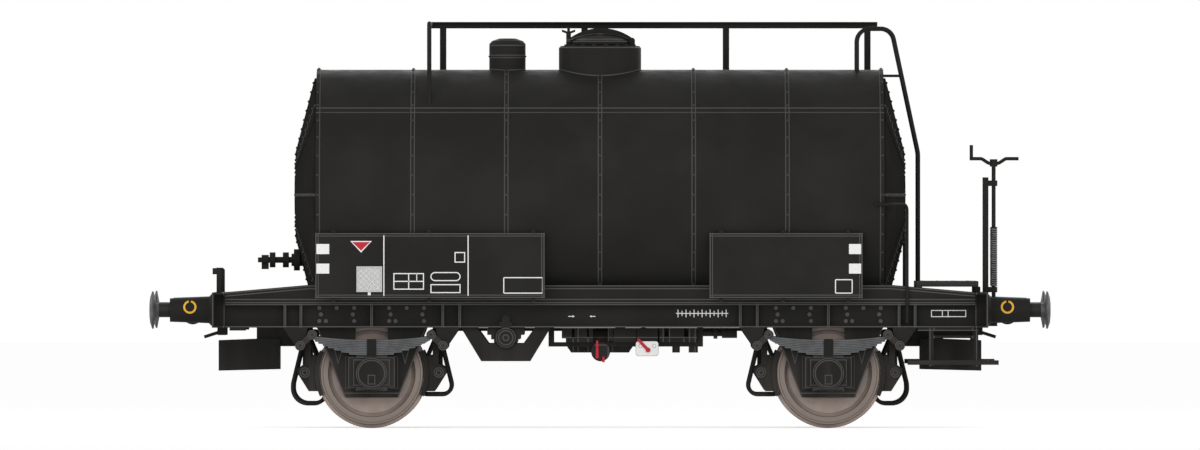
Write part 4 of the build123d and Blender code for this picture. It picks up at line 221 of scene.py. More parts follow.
# Rivets of the headstocks: steps from the middle, and room left for the brake post and the buffers
HEADSTOCK_STEPS = 9
HEADSTOCK_PITCH = 0.125
HEADSTOCK_EDGE = 0.032
POST_ROOM = 0.070
BUFFER_ROOM = 0.130

# Bolts on the dome's flange, with room left for the lid's lugs
DOME_BOLTS = 20
DOME_BOLT_R = 0.372
DOME_BOLT_Z = 3.775
LUG_ROOM = 0.090

# Handrail posts, over which the walkway's planks are bolted, and the planks of the platform
POST_PLACES = (-1.559, -0.154, 1.252, 2.657)
WALKWAY_BOLTS_Y = (0.48, 0.57, 0.66, 0.75)
PLATFORM_PLANKS = 4
PLATFORM_BOLTS_Y = (-0.9, -0.3, 0.3, 0.9)

# Heights of other heads against the tank's rivets
FRAME_RIVET_SHARE = 0.7
PLANK_HEAD_SHARE = 0.2

# Sides and steps of heads, wires, threads and painted curves
RIVET_SEGMENTS = 10
RIVET_ROWS = 6
BOLT_SIDES = 6
WIRE_SIDES = 6
SCREW_STEPS = 24
CORNER_STEPS = 6
PLATE_RING_STEPS = 24

# Marks on the name boards of the near side, in X and Z
WHITE_PANELS = (
    # start, end, bottom, top
    (-2.790, -2.664, 1.717, 1.816),
    (-2.790, -2.664, 1.525, 1.623),
    (2.450, 2.569, 1.717, 1.816),
    (2.450, 2.569, 1.525, 1.623),
)
WHITE_RULES = (
    # x, width, bottom, top
    (-2.1266, 0.010, 1.305, 1.903),
    (-1.2976, 0.010, 1.305, 1.903),
    (-1.803, 0.008, 1.449, 1.525),
    (-2.270, 0.028, 1.312, 1.343),
)
OUTLINES = (
    # start, end, bottom, top, corner radius, columns, rows
    (-2.033, -1.732, 1.367, 1.530, 0.000, 2, 2),
    (-1.668, -1.372, 1.451, 1.540, 0.044, 1, 1),
    (-1.668, -1.372, 1.333, 1.421, 0.000, 1, 1),
    (-1.431, -1.327, 1.633, 1.737, 0.000, 1, 1),
    (-0.952, -0.558, 1.328, 1.490, 0.012, 1, 1),
    (2.312, 2.486, 1.328, 1.470, 0.012, 1, 1),
)
TRIANGLE = (-2.457, -2.245, 1.732, 1.8455)
TRIANGLE_INSET = 1.8
SOLE_PANEL = (3.262, 3.608, 1.096, 1.165)
SOLE_PANEL_RULES = (3.373, 3.430)
SOLE_RULE_SHARE = 0.8
RULER = (0.749, 1.263)
RULER_Z = 1.132
RULER_TICKS = 13
RULER_LONG = 0.038
RULER_SHORT = 0.025
ARROWS = (
    # tip, tail
    (-0.249, -0.313),
    (-0.103, -0.045),
)
ARROW_Z = 1.1025
ARROW_HEAD = 0.35
ARROW_HALF = 1.4
PLATE_CORNER = 0.028
PLATE_EDGE = 0.004
PLATE_RINGS = (0.3987, 0.5339)
PLATE_RING_Z = 0.8104
PLATE_RING_R = 0.020

# Rings on the buffer housings: middle at each end, the housing's taper as X and radius, and the gap
RING_X = {-1: 4.040, 1: 4.013}
RING_RISE = 0.030
RING_FILM = 0.0025
BUFFER_Y = 0.875
HOUSING_BACK = (3.855, 0.130)
HOUSING_FRONT = (4.238, 0.116)
RING_GAP = 12
RING_STEPS = 44

# Hand brake screw
SCREW_X = 3.888
SCREW_Y = -0.400
SCREW_ENDS = (1.398, 1.984)
SCREW_R = 0.032
SCREW_DEPTH = 0.007

# Card holders: width of the frame round the wires
CARD_EDGE = 0.014

# Picture: its width at the car's near side, its middle, and where the camera's view begins
PICTURE_WIDTH = 11.842
PICTURE_MIDDLE_Z = 2.003
PICTURE_PLANE_Y = -0.6
CLIP_START = 1.0

# Studio: half the floor's width, and the lamps
FLOOR_REACH = 150.0
LAMPS = (
    # name, place, aim, width, height, light that sets its power, share of that power
    ("key_light", (-5, -12, 8), (0, 0, 1.5), 12, 7, "key", 1.0),
    ("fill_light", (8, -10, 4), (0, 0, 1.5), 8, 6, "key", 1 / 3),
    ("low_light", (0, -12, 0.9), (0, 0, 0.7), 14, 1.4, "low", 1.0),
    ("back_light", (2, 12, 7), (0, 0, 1.8), 12, 6, "key", 0.75),
    ("left_light", (-14, 0, 4), (-4, 0, 1.8), 6, 5, "key", 0.4),
    ("right_light", (14, 0, 4), (4, 0, 1.8), 6, 5, "key", 0.4),
)

# Finishes: spread of the cloudy patterns, dust by height, shine, wear, and grey against white
CLOUD = (0.35, 0.70)
FINE_CLOUD = (0.35, 0.65)
DUST_HEIGHTS = (1.25, 0.25)
DUST_SHARE = 0.45
PAINT_SHINE = 0.03
MARK_WEAR = 0.20
PLATE_WEAR = 0.04
PLATE_GREY = 0.3

# Colours of leaf joints, planks, buffer heads, axles and the brake screw
JOINT_BLACK = (0.017, 0.017, 0.017)
WOOD_DARK = (0.017, 0.016, 0.015)
WOOD_LIGHT = (0.036, 0.033, 0.031)
BUFFER_DARK = (0.076, 0.076, 0.076)
BUFFER_LIGHT = (0.130, 0.130, 0.130)
AXLE_GREY = (0.062, 0.060, 0.057)
SCREW_GREY = (0.22, 0.22, 0.22)


class TankCarPaint(PropertyGroup):
    """Colours and finish of the car"""

    black: FloatVectorProperty(
        name="Black paint",
        description="Colour of the tank and the frame",
        subtype="COLOR",
        size=3,
        default=(0.0210, 0.0204, 0.0193),
    )
    # Painted highlight: this light colour is laid along the edges of bands, seams, flanges, steps
    # and rings and over the straps of the black paint, standing in for light catching them, not
    # rubbed paint
    band: FloatVectorProperty(
        name="Band edges",
        description="Rubbed paint along the edges of the bands and straps",
        subtype="COLOR",
        size=3,
        default=(0.111, 0.109, 0.104),
    )
    dust: FloatVectorProperty(
        name="Road dust",
        description="Dust low on the frame and the running gear",
        subtype="COLOR",
        size=3,
        default=(0.078, 0.068, 0.059),
    )
    wheel: FloatVectorProperty(
        name="Wheel steel",
        description="Brownish film on the wheels",
        subtype="COLOR",
        size=3,
        default=(0.366, 0.298, 0.260),
    )
    spring: FloatVectorProperty(
        name="Spring steel",
        description="Grey of the leaf springs",
        subtype="COLOR",
        size=3,
        default=(0.112, 0.115, 0.118),
    )
    white: FloatVectorProperty(
        name="White paint",
        description="Panels and rules on the boards",
        subtype="COLOR",
        size=3,
        default=(0.90, 0.90, 0.88),
    )
    red: FloatVectorProperty(
        name="Red paint",
        description="Setting levers and the triangle",
        subtype="COLOR",
        size=3,
        default=(0.500, 0.011, 0.027),
    )
    yellow: FloatVectorProperty(
        name="Yellow paint",
        description="Rings on the buffer housings",
        subtype="COLOR",
        size=3,
        default=(0.90, 0.48, 0.034),
    )
    mesh_grey: FloatVectorProperty(
        name="Card holder grey",
        description="Wires and frame of the card holders",
        subtype="COLOR",
        size=3,
        default=(0.55, 0.55, 0.55),
    )


class TankCarHeads(PropertyGroup):
    """Sizes of rivets, bolts and wires"""

    rivet_radius: FloatProperty(
        name="Rivet radius",
        description="Radius of the rivet heads on the tank",
        unit="LENGTH",
        default=0.013,
    )
    rivet_height: FloatProperty(
        name="Rivet height",
        description="Height of the rivet heads on the tank",
        unit="LENGTH",
        default=0.010,
    )
    hoop_rivets: IntProperty(
        name="Rivets round a hoop",
        description="Number of rivets round each hoop and rim band",
        default=40,
        min=8,
    )
    cone_pitch: FloatProperty(
        name="Strap pitch",
        description="Distance between rivets on the sloping part of the end straps",
        unit="LENGTH",
        default=0.095,
    )
    flat_pitch: FloatProperty(
        name="Middle pitch",
        description="Distance between rivets on the flat part of the end straps",
        unit="LENGTH",
        default=0.057,
    )
    bolt_radius: FloatProperty(
        name="Bolt radius",
        description="Radius across the corners of the bolt heads",
        unit="LENGTH",
        default=0.022,
    )
    bolt_height: FloatProperty(
        name="Bolt height",
        description="Height of the bolt heads",
        unit="LENGTH",
        default=0.014,
    )
    wire_radius: FloatProperty(
        name="Wire radius",
        description="Radius of the wires in the card holders",
        unit="LENGTH",
        default=0.0028,
    )
    wire_pitch: FloatProperty(
        name="Wire pitch",
        description="Distance between crossing wires, along the holder's edge",
        unit="LENGTH",
        default=0.056,
    )
    screw_turns: IntProperty(
        name="Screw turns",
        description="Turns of thread on the hand brake spindle",
        default=26,
        min=4,
    )
    rule_width: FloatProperty(
        name="Rule width",
        description="Width of the painted lines",
        unit="LENGTH",
        default=0.010,
    )
    film: FloatProperty(
        name="Paint film",
        description="Thickness of the painted marks",
        unit="LENGTH",
        default=0.001,
    )
    ring_radius: FloatProperty(
        name="Buffer ring radius",
        description="Outer radius of the rings on the buffer housings",
        unit="LENGTH",
        default=0.065,
    )
    ring_width: FloatProperty(
        name="Buffer ring width",
        description="Width of the rings on the buffer housings",
        unit="LENGTH",
        default=0.019,
    )


class TankCarStage(PropertyGroup):
    """Floor, light and camera"""

    floor: FloatVectorProperty(
        name="Floor",
        description="Colour of the studio floor",
        subtype="COLOR",
        size=3,
        default=(0.88, 0.88, 0.88),
    )
    floor_glow: FloatProperty(
        name="Floor glow",
        description="Light added to the floor as the camera sees it, which keeps it white",
        default=0.60,
    )
    lens: FloatProperty(
        name="Lens",
        description="Focal length in millimetres, long so that the side shows flat",
        default=630.0,
    )
    key_power: FloatProperty(
        name="Key light",
        description="Power of the large light before the car",
        unit="POWER",
        default=500.0,
    )
    low_power: FloatProperty(
        name="Low light",
        description="Power of the long light that reaches under the frame",
        unit="POWER",
        default=228.0,
    )
    sky: FloatProperty(
        name="Sky",
        description="Strength of the even light from all round",
        default=0.43,
    )


# Materials

def new_material(name):
    """Material with a shader, and its tree and shader."""
    material = bpy.data.materials.new(name)
    material.use_nodes = True
    tree = material.node_tree
    return material, tree, tree.nodes["Principled BSDF"]


def object_position(tree):
    """Place on the piece, in the car's own frame."""
    return tree.nodes.new("ShaderNodeTexCoord").outputs["Object"]


def axes(tree, vector):
    """Separate X, Y and Z of a vector."""
    node = tree.nodes.new("ShaderNodeSeparateXYZ")
    tree.links.new(vector, node.inputs[0])
    return node.outputs


def calc(tree, operation, first, second=None, third=None):
    """Math node on sockets or plain numbers."""
    node = tree.nodes.new("ShaderNodeMath")
    node.operation = operation
    for number, value in enumerate((first, second, third)):
        if value is None:
            continue
        if isinstance(value, bpy.types.NodeSocket):
            tree.links.new(value, node.inputs[number])
        else:
            node.inputs[number].default_value = value
    return node.outputs[0]


def fade(tree, value, start, end, low=0.0, high=1.0):
    """Value mapped smoothly from one range to another, held at its ends."""
    node = tree.nodes.new("ShaderNodeMapRange")
    node.interpolation_type = "SMOOTHSTEP"
    tree.links.new(value, node.inputs["Value"])
    node.inputs["From Min"].default_value = start
    node.inputs["From Max"].default_value = end
    node.inputs["To Min"].default_value = low
    node.inputs["To Max"].default_value = high
    return node.outputs["Result"]


def noise(tree, vector, scale, detail=4.0, stretch=(1, 1, 1)):
    """Cloudy pattern on the object's own coordinates."""
    mapping = tree.nodes.new("ShaderNodeMapping")
    mapping.inputs["Scale"].default_value = stretch
    tree.links.new(vector, mapping.inputs["Vector"])
    node = tree.nodes.new("ShaderNodeTexNoise")
    node.inputs["Scale"].default_value = scale
    node.inputs["Detail"].default_value = detail
    tree.links.new(mapping.outputs["Vector"], node.inputs["Vector"])
    return node.outputs["Fac"]


def blend(tree, share, first, second):
    """Colour mixed from two, each a socket or a plain colour."""
    node = tree.nodes.new("ShaderNodeMix")
    node.data_type = "RGBA"
    tree.links.new(share, node.inputs["Factor"])
    for name, colour in (("A", first), ("B", second)):
        socket = next(s for s in node.inputs if s.name == name and s.type == "RGBA")
        if isinstance(colour, bpy.types.NodeSocket):
            tree.links.new(colour, socket)
        else:
            socket.default_value = (*colour, 1)
    return next(s for s in node.outputs if s.type == "RGBA")


def roughen(tree, shader, height, strength, distance):
    """Fine relief in the shader's normal."""
    bump = tree.nodes.new("ShaderNodeBump")
    bump.inputs["Strength"].default_value = strength
    bump.inputs["Distance"].default_value = distance
    tree.links.new(height, bump.inputs["Height"])
    tree.links.new(bump.outputs["Normal"], shader.inputs["Normal"])


def tint(colour, share):
    """Colour made lighter or darker by a share."""
    return tuple(channel * share for channel in colour)


def gloss(shader, specular, roughness=None, metallic=0.0):
    """Set the shader's values that are the same all over."""
    shader.inputs["Specular IOR Level"].default_value = specular
    shader.inputs["Metallic"].default_value = metallic
    if roughness is not None:
        shader.inputs["Roughness"].default_value = roughness


# Masks of painted highlights along edges and straps, and of dark joints

def near(tree, distance, half_width=LINE_HALF):
    """1 where a distance is close to zero, fading out over the half width."""
    size = calc(tree, "ABSOLUTE", distance)
    return fade(tree, size, 0.0, half_width, 1.0, 0.0)


def strongest(tree, masks):
    """Mask that is as strong as the strongest of several."""
    result = masks[0]
    for mask in masks[1:]:
        result = calc(tree, "MAXIMUM", result, mask)
    return result


def lines_at(tree, value, places):
    """Mask of lines where a value meets the places."""
    gaps = [calc(tree, "SUBTRACT", value, place) for place in places]
    return strongest(tree, [near(tree, gap) for gap in gaps])


def distance_from(tree, x, z, middle_x, middle_z):
    """Distance in X and Z from a middle."""
    across = calc(tree, "POWER", calc(tree, "SUBTRACT", x, middle_x), 2.0)
    up = calc(tree, "POWER", calc(tree, "SUBTRACT", z, middle_z), 2.0)
    return calc(tree, "SQRT", calc(tree, "ADD", across, up))


def from_axle(tree, position):
    """Distance along X from the nearer axle, height, and radius about the axle."""
    x, _, z = axes(tree, position)
    across = calc(tree, "SUBTRACT", calc(tree, "ABSOLUTE", x), AXLE_X)
    return across, z, distance_from(tree, across, z, 0.0, AXLE_Z)


def box_line(tree, sideways, z, half, low, high):
    """Mask along the edge of a box with a half width and two heights."""
    rise = calc(tree, "ABSOLUTE", calc(tree, "SUBTRACT", z, (low + high) / 2))
    beside = calc(tree, "SUBTRACT", sideways, half)
    above = calc(tree, "SUBTRACT", rise, (high - low) / 2)
    return near(tree, calc(tree, "MAXIMUM", beside, above))


def hoop_edges(tree, position):
    """Mask along the edges of the hoops, the rim bands and the seams."""
    x, _, z = axes(tree, position)
    along = calc(tree, "ABSOLUTE", x)
    hoop = calc(tree, "SUBTRACT", calc(tree, "PINGPONG", x, HOOP_PITCH / 2), HOOP_WIDTH / 2)
    inside = calc(tree, "LESS_THAN", along, HOOP_PITCH * HOOP_COUNT / 2)
    hoops = calc(tree, "MULTIPLY", near(tree, hoop), inside)
    rim = calc(tree, "SUBTRACT", along, BARREL_HALF - RIM_BAND)
    from_seam = calc(tree, "ABSOLUTE", calc(tree, "SUBTRACT", z, SEAM_Z))
    seam = calc(tree, "SUBTRACT", from_seam, SEAM_HEIGHT / 2)
    return strongest(tree, [hoops, near(tree, rim), near(tree, seam)])


def sole_edges(tree, position):
    """Mask along the flanges and ribs of the sole bars."""
    x, _, z = axes(tree, position)
    middles = [end * (AXLE_X + place) for end in (-1, 1) for place in RIBS_FROM_AXLE]
    ribs = [middle + edge for middle in middles for edge in (-RIB_EDGE, RIB_EDGE)]
    return strongest(tree, [lines_at(tree, z, SOLE_LINES), lines_at(tree, x, ribs)])


def cradle_edges(tree, position):
    """Mask along the lip of the cradle beams and under their sloping flanges."""
    x, _, z = axes(tree, position)
    share = calc(tree, "SUBTRACT", calc(tree, "ABSOLUTE", x), CRADLE_FLAT)
    share = calc(tree, "MAXIMUM", calc(tree, "DIVIDE", share, CRADLE_HIGH.x - CRADLE_FLAT), 0.0)
    drop = calc(tree, "MULTIPLY", share, CRADLE_HIGH.z - HEADSTOCK_HIGH.z)
    level = calc(tree, "ADD", z, drop)
    flange = lines_at(tree, level, (CRADLE_HIGH.z - CRADLE_FLANGE, CRADLE_HIGH.z - LINE_HALF))
    return strongest(tree, [lines_at(tree, z, CRADLE_LINES), flange])


def board_edges(tree, position):
    """Mask along the borders of the name boards, which stand turned about on the far side."""
    x, y, z = axes(tree, position)
    along = calc(tree, "MULTIPLY", calc(tree, "SIGN", y), calc(tree, "MULTIPLY", x, -1.0))
    levels = []
    places = []
    for line in BOARD_LINES:
        levels += [BOARD_LOW.z + line, BOARD_HIGH.z - line]
        places += [end + way * line for end, way in zip(BOARD_ENDS, (1, -1, 1, -1))]
    return strongest(tree, [lines_at(tree, z, levels), lines_at(tree, along, places)])


def headstock_edges(tree, position):
    """Mask along the upright edges of the headstocks' ends."""
    along = calc(tree, "ABSOLUTE", axes(tree, position)[0])
    return lines_at(tree, along, (CRADLE_HIGH.x + LINE_HALF, HEADSTOCK_HIGH.x - LINE_HALF))


def outlet_rings(tree, position):
    """Mask of rings on the outlet caps."""
    x, _, z = axes(tree, position)
    return lines_at(tree, distance_from(tree, x, z, *OUTLET), OUTLET_RINGS)


def tank_weld(tree, position):
    """Mask along the joint of a dome with the tank."""
    _, y, z = axes(tree, position)
    across = calc(tree, "POWER", y, 2.0)
    rise = calc(tree, "SQRT", calc(tree, "SUBTRACT", TANK_R ** 2, across))
    level = calc(tree, "SUBTRACT", calc(tree, "SUBTRACT", z, TANK_AXIS_Z), rise)
    return lines_at(tree, level, (LINE_HALF,))


def dome_lines(tree, position):
    """Mask along the dome's joint and the edge of its top."""
    top = lines_at(tree, axes(tree, position)[2], (DOME_LINE_Z,))
    return strongest(tree, [tank_weld(tree, position), top])


def lid_lines(tree, position):
    """Mask along the lid's rim and under its strongback."""
    x, _, z = axes(tree, position)
    radius = distance_from(tree, x, z, 0.0, STRONGBACK_MIDDLE_Z)
    under = lines_at(tree, radius, (STRONGBACK_UNDER_R,))
    return strongest(tree, [lines_at(tree, z, LID_LINES), under])


def gear_lines(tree, position):
    """Mask along the joints of the brake gear's bodies."""
    x, _, z = axes(tree, position)
    return strongest(tree, [lines_at(tree, x, GEAR_LINES_X), lines_at(tree, z, GEAR_LINES_Z)])


def hanger_lines(tree, position):
    """Mask along the edges of the step hangers and of the flat that joins them."""
    x, _, z = axes(tree, position)
    across = lines_at(tree, z, HANGER_LINES_Z)
    return strongest(tree, [lines_at(tree, x, HANGER_LINES_X), across])


def vent_lines(tree, position):
    """Mask along the vent's joint, band and shoulder."""
    level = calc(tree, "SUBTRACT", axes(tree, position)[2], TANK_AXIS_Z)
    return strongest(tree, [tank_weld(tree, position), lines_at(tree, level, VENT_LINES)])


def box_edges(tree, position):
    """Mask along the edges of the axle boxes' steps, covers and small plates."""
    across, z, radius = from_axle(tree, position)
    sideways = calc(tree, "ABSOLUTE", across)
    outside = calc(tree, "GREATER_THAN", radius, BOX_COVER_RINGS[0])
    steps = strongest(tree, [box_line(tree, sideways, z, *step) for step in BOX_STEPS])
    steps = calc(tree, "MULTIPLY", steps, outside)
    half, rise = BOX_PLATE_HALF
    plate = box_line(tree, sideways, z, half, BOX_PLATE_Z - rise, BOX_PLATE_Z + rise)
    return strongest(tree, [steps, lines_at(tree, radius, BOX_COVER_RINGS), plate])


def guard_edges(tree, position):
    """Mask along the slanting edges, gussets and ties of the axle guards."""
    across, z, _ = from_axle(tree, position)
    sideways = calc(tree, "ABSOLUTE", across)
    low, high = GUARD_LOW, GUARD_TOP
    slant = (high[0] - low[0]) / (high[1] - low[1])
    edge = calc(tree, "MULTIPLY_ADD", calc(tree, "SUBTRACT", z, low[1]), slant, low[0])
    inside = calc(tree, "SUBTRACT", edge, sideways)
    gusset_low, gusset_high = GUSSET_Z
    rise = calc(tree, "SUBTRACT", z, gusset_low)
    share = calc(tree, "DIVIDE", rise, gusset_high - gusset_low)
    beside = calc(tree, "ABSOLUTE", calc(tree, "SUBTRACT", sideways, GUSSET_X))
    half = calc(tree, "MULTIPLY", share, GUSSET_HALF)
    on_gusset = calc(tree, "COMPARE", share, 0.5, 0.5)
    gusset = calc(tree, "MULTIPLY", near(tree, calc(tree, "SUBTRACT", beside, half)), on_gusset)
    slants = lines_at(tree, inside, (LINE_HALF,))
    return strongest(tree, [slants, gusset, lines_at(tree, z, (GUARD_TIE_Z,))])


def holder_rings(tree, position):
    """Mask of rings round the pins of the block holders."""
    across, z, _ = from_axle(tree, position)
    sideways = calc(tree, "ABSOLUTE", across)
    return lines_at(tree, distance_from(tree, sideways, z, *HOLDER_PIN), HOLDER_RINGS)


def shackle_rings(tree, position):
    """Mask of rings round the shackle pins."""
    across, z, _ = from_axle(tree, position)
    sideways = calc(tree, "ABSOLUTE", across)
    pins = [distance_from(tree, sideways, z, *pin) for pin in SHACKLE_PINS]
    return strongest(tree, [lines_at(tree, pin, SHACKLE_RINGS) for pin in pins])


def strap_edges(tree, position):
    """Mask over the straps that run out from the middle of the tank's ends."""
    _, y, z = axes(tree, position)
    up = calc(tree, "SUBTRACT", z, TANK_AXIS_Z)
    straps = []
    for angle in STRAP_ANGLES[:len(STRAP_ANGLES) // 2]:
        turn = radians(angle)
        rise = calc(tree, "MULTIPLY", up, cos(turn))
        shift = calc(tree, "MULTIPLY", y, sin(turn))
        straps.append(near(tree, calc(tree, "SUBTRACT", rise, shift), STRAP_WIDTH / 2))
    return strongest(tree, straps)


# Finishes

def paint(name, base, edge, shine):
    """Satin paint, a little cloudy, with dust low down; edge gives a mask where a painted highlight
    is laid along edges and straps.
    """
    colours = bpy.context.scene.tank_car_paint
    material, tree, shader = new_material(name)
    position = object_position(tree)
    height = axes(tree, position)[2]
    cloud = noise(tree, position, scale=1.6)
    streaks = noise(tree, position, scale=5.0, detail=3.0, stretch=(1, 1, 0.12))
    light = tint(base, 1.25)
    colour = blend(tree, fade(tree, cloud, *CLOUD), base, light)
    low = fade(tree, height, *DUST_HEIGHTS, high=DUST_SHARE)
    dusty = calc(tree, "MULTIPLY", low, fade(tree, streaks, *CLOUD))
    colour = blend(tree, dusty, colour, tuple(colours.dust))
    # Painted highlight: the edge mask lays the light band colour along edges, bands and straps,
    # standing in for light catching them
    if edge is not None:
        colour = blend(tree, edge(tree, position), colour, tuple(colours.band))
    tree.links.new(colour, shader.inputs["Base Color"])
    roughness = fade(tree, streaks, start=0.30, end=0.75, low=0.42, high=0.56)
    tree.links.new(roughness, shader.inputs["Roughness"])
    gloss(shader, specular=shine)
    grain = noise(tree, position, scale=60.0, detail=2.0)
    roughen(tree, shader, grain, strength=0.05, distance=0.002)
    return material


def wheel_steel():
    """Brownish wheel faces with turned rings, a darker rim, and a brighter tread that is partly
    worn steel and partly painted light.
    """
    base = tuple(bpy.context.scene.tank_car_paint.wheel)
    material, tree, shader = new_material("wheel_steel")
    position = object_position(tree)
    radius = from_axle(tree, position)[2]
    light = tint(base, 1.12)
    rim = tint(base, 0.74)
    # Partly worn steel and partly painted light: the ring beyond the tread's edge is made half
    # again as light, lifting the shade that falls on this recessed ring
    tread = tint(base, 1.5)
    dark = tint(base, 0.3)
    colour = blend(tree, fade(tree, noise(tree, position, scale=9.0), *FINE_CLOUD), base, light)
    on_rim = fade(tree, radius, RIM_FACE_R, RIM_FACE_R + RIM_FADE)
    colour = blend(tree, on_rim, colour, rim)
    tread_wear_and_painted_light = fade(tree, radius, TREAD_EDGE_R, TREAD_EDGE_R + RIM_FADE)
    colour = blend(tree, tread_wear_and_painted_light, colour, tread)
    rings = calc(tree, "MULTIPLY", lines_at(tree, radius, WHEEL_RINGS), RING_SHARE)
    colour = blend(tree, rings, colour, dark)
    tree.links.new(colour, shader.inputs["Base Color"])
    roughness = fade(tree, radius, TREAD_EDGE_R, TREAD_EDGE_R + TREAD_FADE, low=0.62, high=0.45)
    tree.links.new(roughness, shader.inputs["Roughness"])
    gloss(shader, specular=0.3, metallic=0.15)
    grain = noise(tree, position, scale=80.0, detail=2.0)
    roughen(tree, shader, grain, strength=0.12, distance=0.002)
    return material


def spring_steel():
    """Bluish leaves with dark joints between them, bowed as the leaves are, and black buckles."""
    colours = bpy.context.scene.tank_car_paint
    base = tuple(colours.spring)
    material, tree, shader = new_material("spring_steel")
    position = object_position(tree)
    across, z, _ = from_axle(tree, position)
    sideways = calc(tree, "ABSOLUTE", across)
    top_middle = SPRING_SEAT_Z + BUCKLE_WALL + (LEAF_COUNT - 0.5) * LEAF_DEPTH
    rise = SPRING_EYE_Z - SPRING_EYE_R + LEAF_DEPTH / 2 - top_middle
    bow_r = (SPRING_HALF ** 2 + rise ** 2) / (2 * rise)
    radius = distance_from(tree, across, z, 0.0, top_middle + bow_r)
    depth = calc(tree, "SUBTRACT", radius, bow_r - LEAF_DEPTH / 2)
    joint = near(tree, calc(tree, "PINGPONG", depth, LEAF_DEPTH / 2), LEAF_JOINT_HALF)
    limits = (
        calc(tree, "GREATER_THAN", depth, LEAF_DEPTH / 2),
        calc(tree, "GREATER_THAN", sideways, BUCKLE_HALF),
        calc(tree, "LESS_THAN", sideways, SPRING_HALF - LEAF_END),
    )
    for limit in limits:
        joint = calc(tree, "MULTIPLY", joint, limit)
    light = tint(base, 1.3)
    dark = tint(colours.black, 0.7)
    colour = blend(tree, fade(tree, noise(tree, position, scale=12.0), *FINE_CLOUD), base, light)
    buckle = calc(tree, "LESS_THAN", sideways, BUCKLE_HALF + BUCKLE_EDGE)
    colour = blend(tree, buckle, colour, dark)
    colour = blend(tree, joint, colour, JOINT_BLACK)
    tree.links.new(colour, shader.inputs["Base Color"])
    gloss(shader, specular=0.08, roughness=0.5)
    roughen(tree, shader, calc(tree, "SUBTRACT", 1.0, joint), strength=0.6, distance=0.004)
    return material


def dark_wood():
    """Blackened planks with grain along the car."""
    material, tree, shader = new_material("dark_wood")
    position = object_position(tree)
    grain = noise(tree, position, scale=9.0, detail=6.0, stretch=(0.15, 3.0, 3.0))
    colour = blend(tree, fade(tree, grain, *CLOUD), WOOD_DARK, WOOD_LIGHT)
    tree.links.new(colour, shader.inputs["Base Color"])
    gloss(shader, specular=0.2, roughness=0.7)
    roughen(tree, shader, grain, strength=0.35, distance=0.003)
    return material


def buffer_steel():
    """Painted plunger shanks and greased, lighter heads."""
    black = tuple(bpy.context.scene.tank_car_paint.black)
    material, tree, shader = new_material("buffer_steel")
    position = object_position(tree)
    along = calc(tree, "ABSOLUTE", axes(tree, position)[0])
    cloud = fade(tree, noise(tree, position, scale=14.0), *FINE_CLOUD)
    head = blend(tree, cloud, BUFFER_DARK, BUFFER_LIGHT)
    on_head = calc(tree, "GREATER_THAN", along, BUFFER_HEAD_X)
    tree.links.new(blend(tree, on_head, black, head), shader.inputs["Base Color"])
    gloss(shader, specular=0.15, roughness=0.45)
    grain = noise(tree, position, scale=120.0, detail=2.0)
    roughen(tree, shader, grain, strength=0.06, distance=0.001)
    return material


def bare_steel(name, base, roughness):
    """Oiled steel, a little cloudy and rough."""
    material, tree, shader = new_material(name)
    position = object_position(tree)
    cloud = noise(tree, position, scale=14.0)
    dark = tint(base, 0.6)
    colour = blend(tree, fade(tree, cloud, *FINE_CLOUD), dark, base)
    tree.links.new(colour, shader.inputs["Base Color"])
    dull = fade(tree, cloud, start=0.3, end=0.7, low=roughness, high=roughness + 0.15)
    tree.links.new(dull, shader.inputs["Roughness"])
    gloss(shader, specular=0.3, metallic=0.4)
    grain = noise(tree, position, scale=120.0, detail=2.0)
    roughen(tree, shader, grain, strength=0.06, distance=0.001)
    return material


def mark_paint(name, base, wear=MARK_WEAR):
    """Flat sign paint, a little worn."""
    material, tree, shader = new_material(name)
    position = object_position(tree)
    cloud = noise(tree, position, scale=30.0, detail=5.0)
    worn = fade(tree, cloud, start=0.60, end=0.78, high=wear)
    dull = tint(base, 0.6)
    tree.links.new(blend(tree, worn, base, dull), shader.inputs["Base Color"])
    gloss(shader, specular=0.3, roughness=0.5)
    return material


PAINTS = (
    # name, mask of its painted highlights along edges, share of the black, shine
    ("black_paint", None, 1.0, PAINT_SHINE),
    ("tank_paint", hoop_edges, 1.0, PAINT_SHINE),
    ("end_paint", strap_edges, 1.0, 0.0),
    ("sole_paint", sole_edges, 1.0, PAINT_SHINE),
    ("cradle_paint", cradle_edges, 1.0, PAINT_SHINE),
    ("headstock_paint", headstock_edges, 1.0, PAINT_SHINE),
    ("board_paint", board_edges, 1.0, PAINT_SHINE),
    ("box_paint", box_edges, 1.0, PAINT_SHINE),
    ("guard_paint", guard_edges, 1.0, PAINT_SHINE),
    ("shackle_paint", shackle_rings, 1.8, PAINT_SHINE),
    ("outlet_paint", outlet_rings, 1.0, PAINT_SHINE),
    ("holder_paint", holder_rings, 1.0, PAINT_SHINE),
    ("dome_paint", dome_lines, 1.0, PAINT_SHINE),
    ("lid_paint", lid_lines, 1.0, PAINT_SHINE),
    ("gear_paint", gear_lines, 1.0, PAINT_SHINE),
    ("hanger_paint", hanger_lines, 1.0, PAINT_SHINE),
    ("vent_paint", vent_lines, 1.0, PAINT_SHINE),
    ("brake_iron", None, 1.25, PAINT_SHINE),
    # Painted highlight: rivet and bolt heads are made lighter than the black, standing in for light
    # catching the heads
    ("rivet_paint", None, 2.6, PAINT_SHINE),
    ("bolt_paint", None, 4.5, PAINT_SHINE),
)


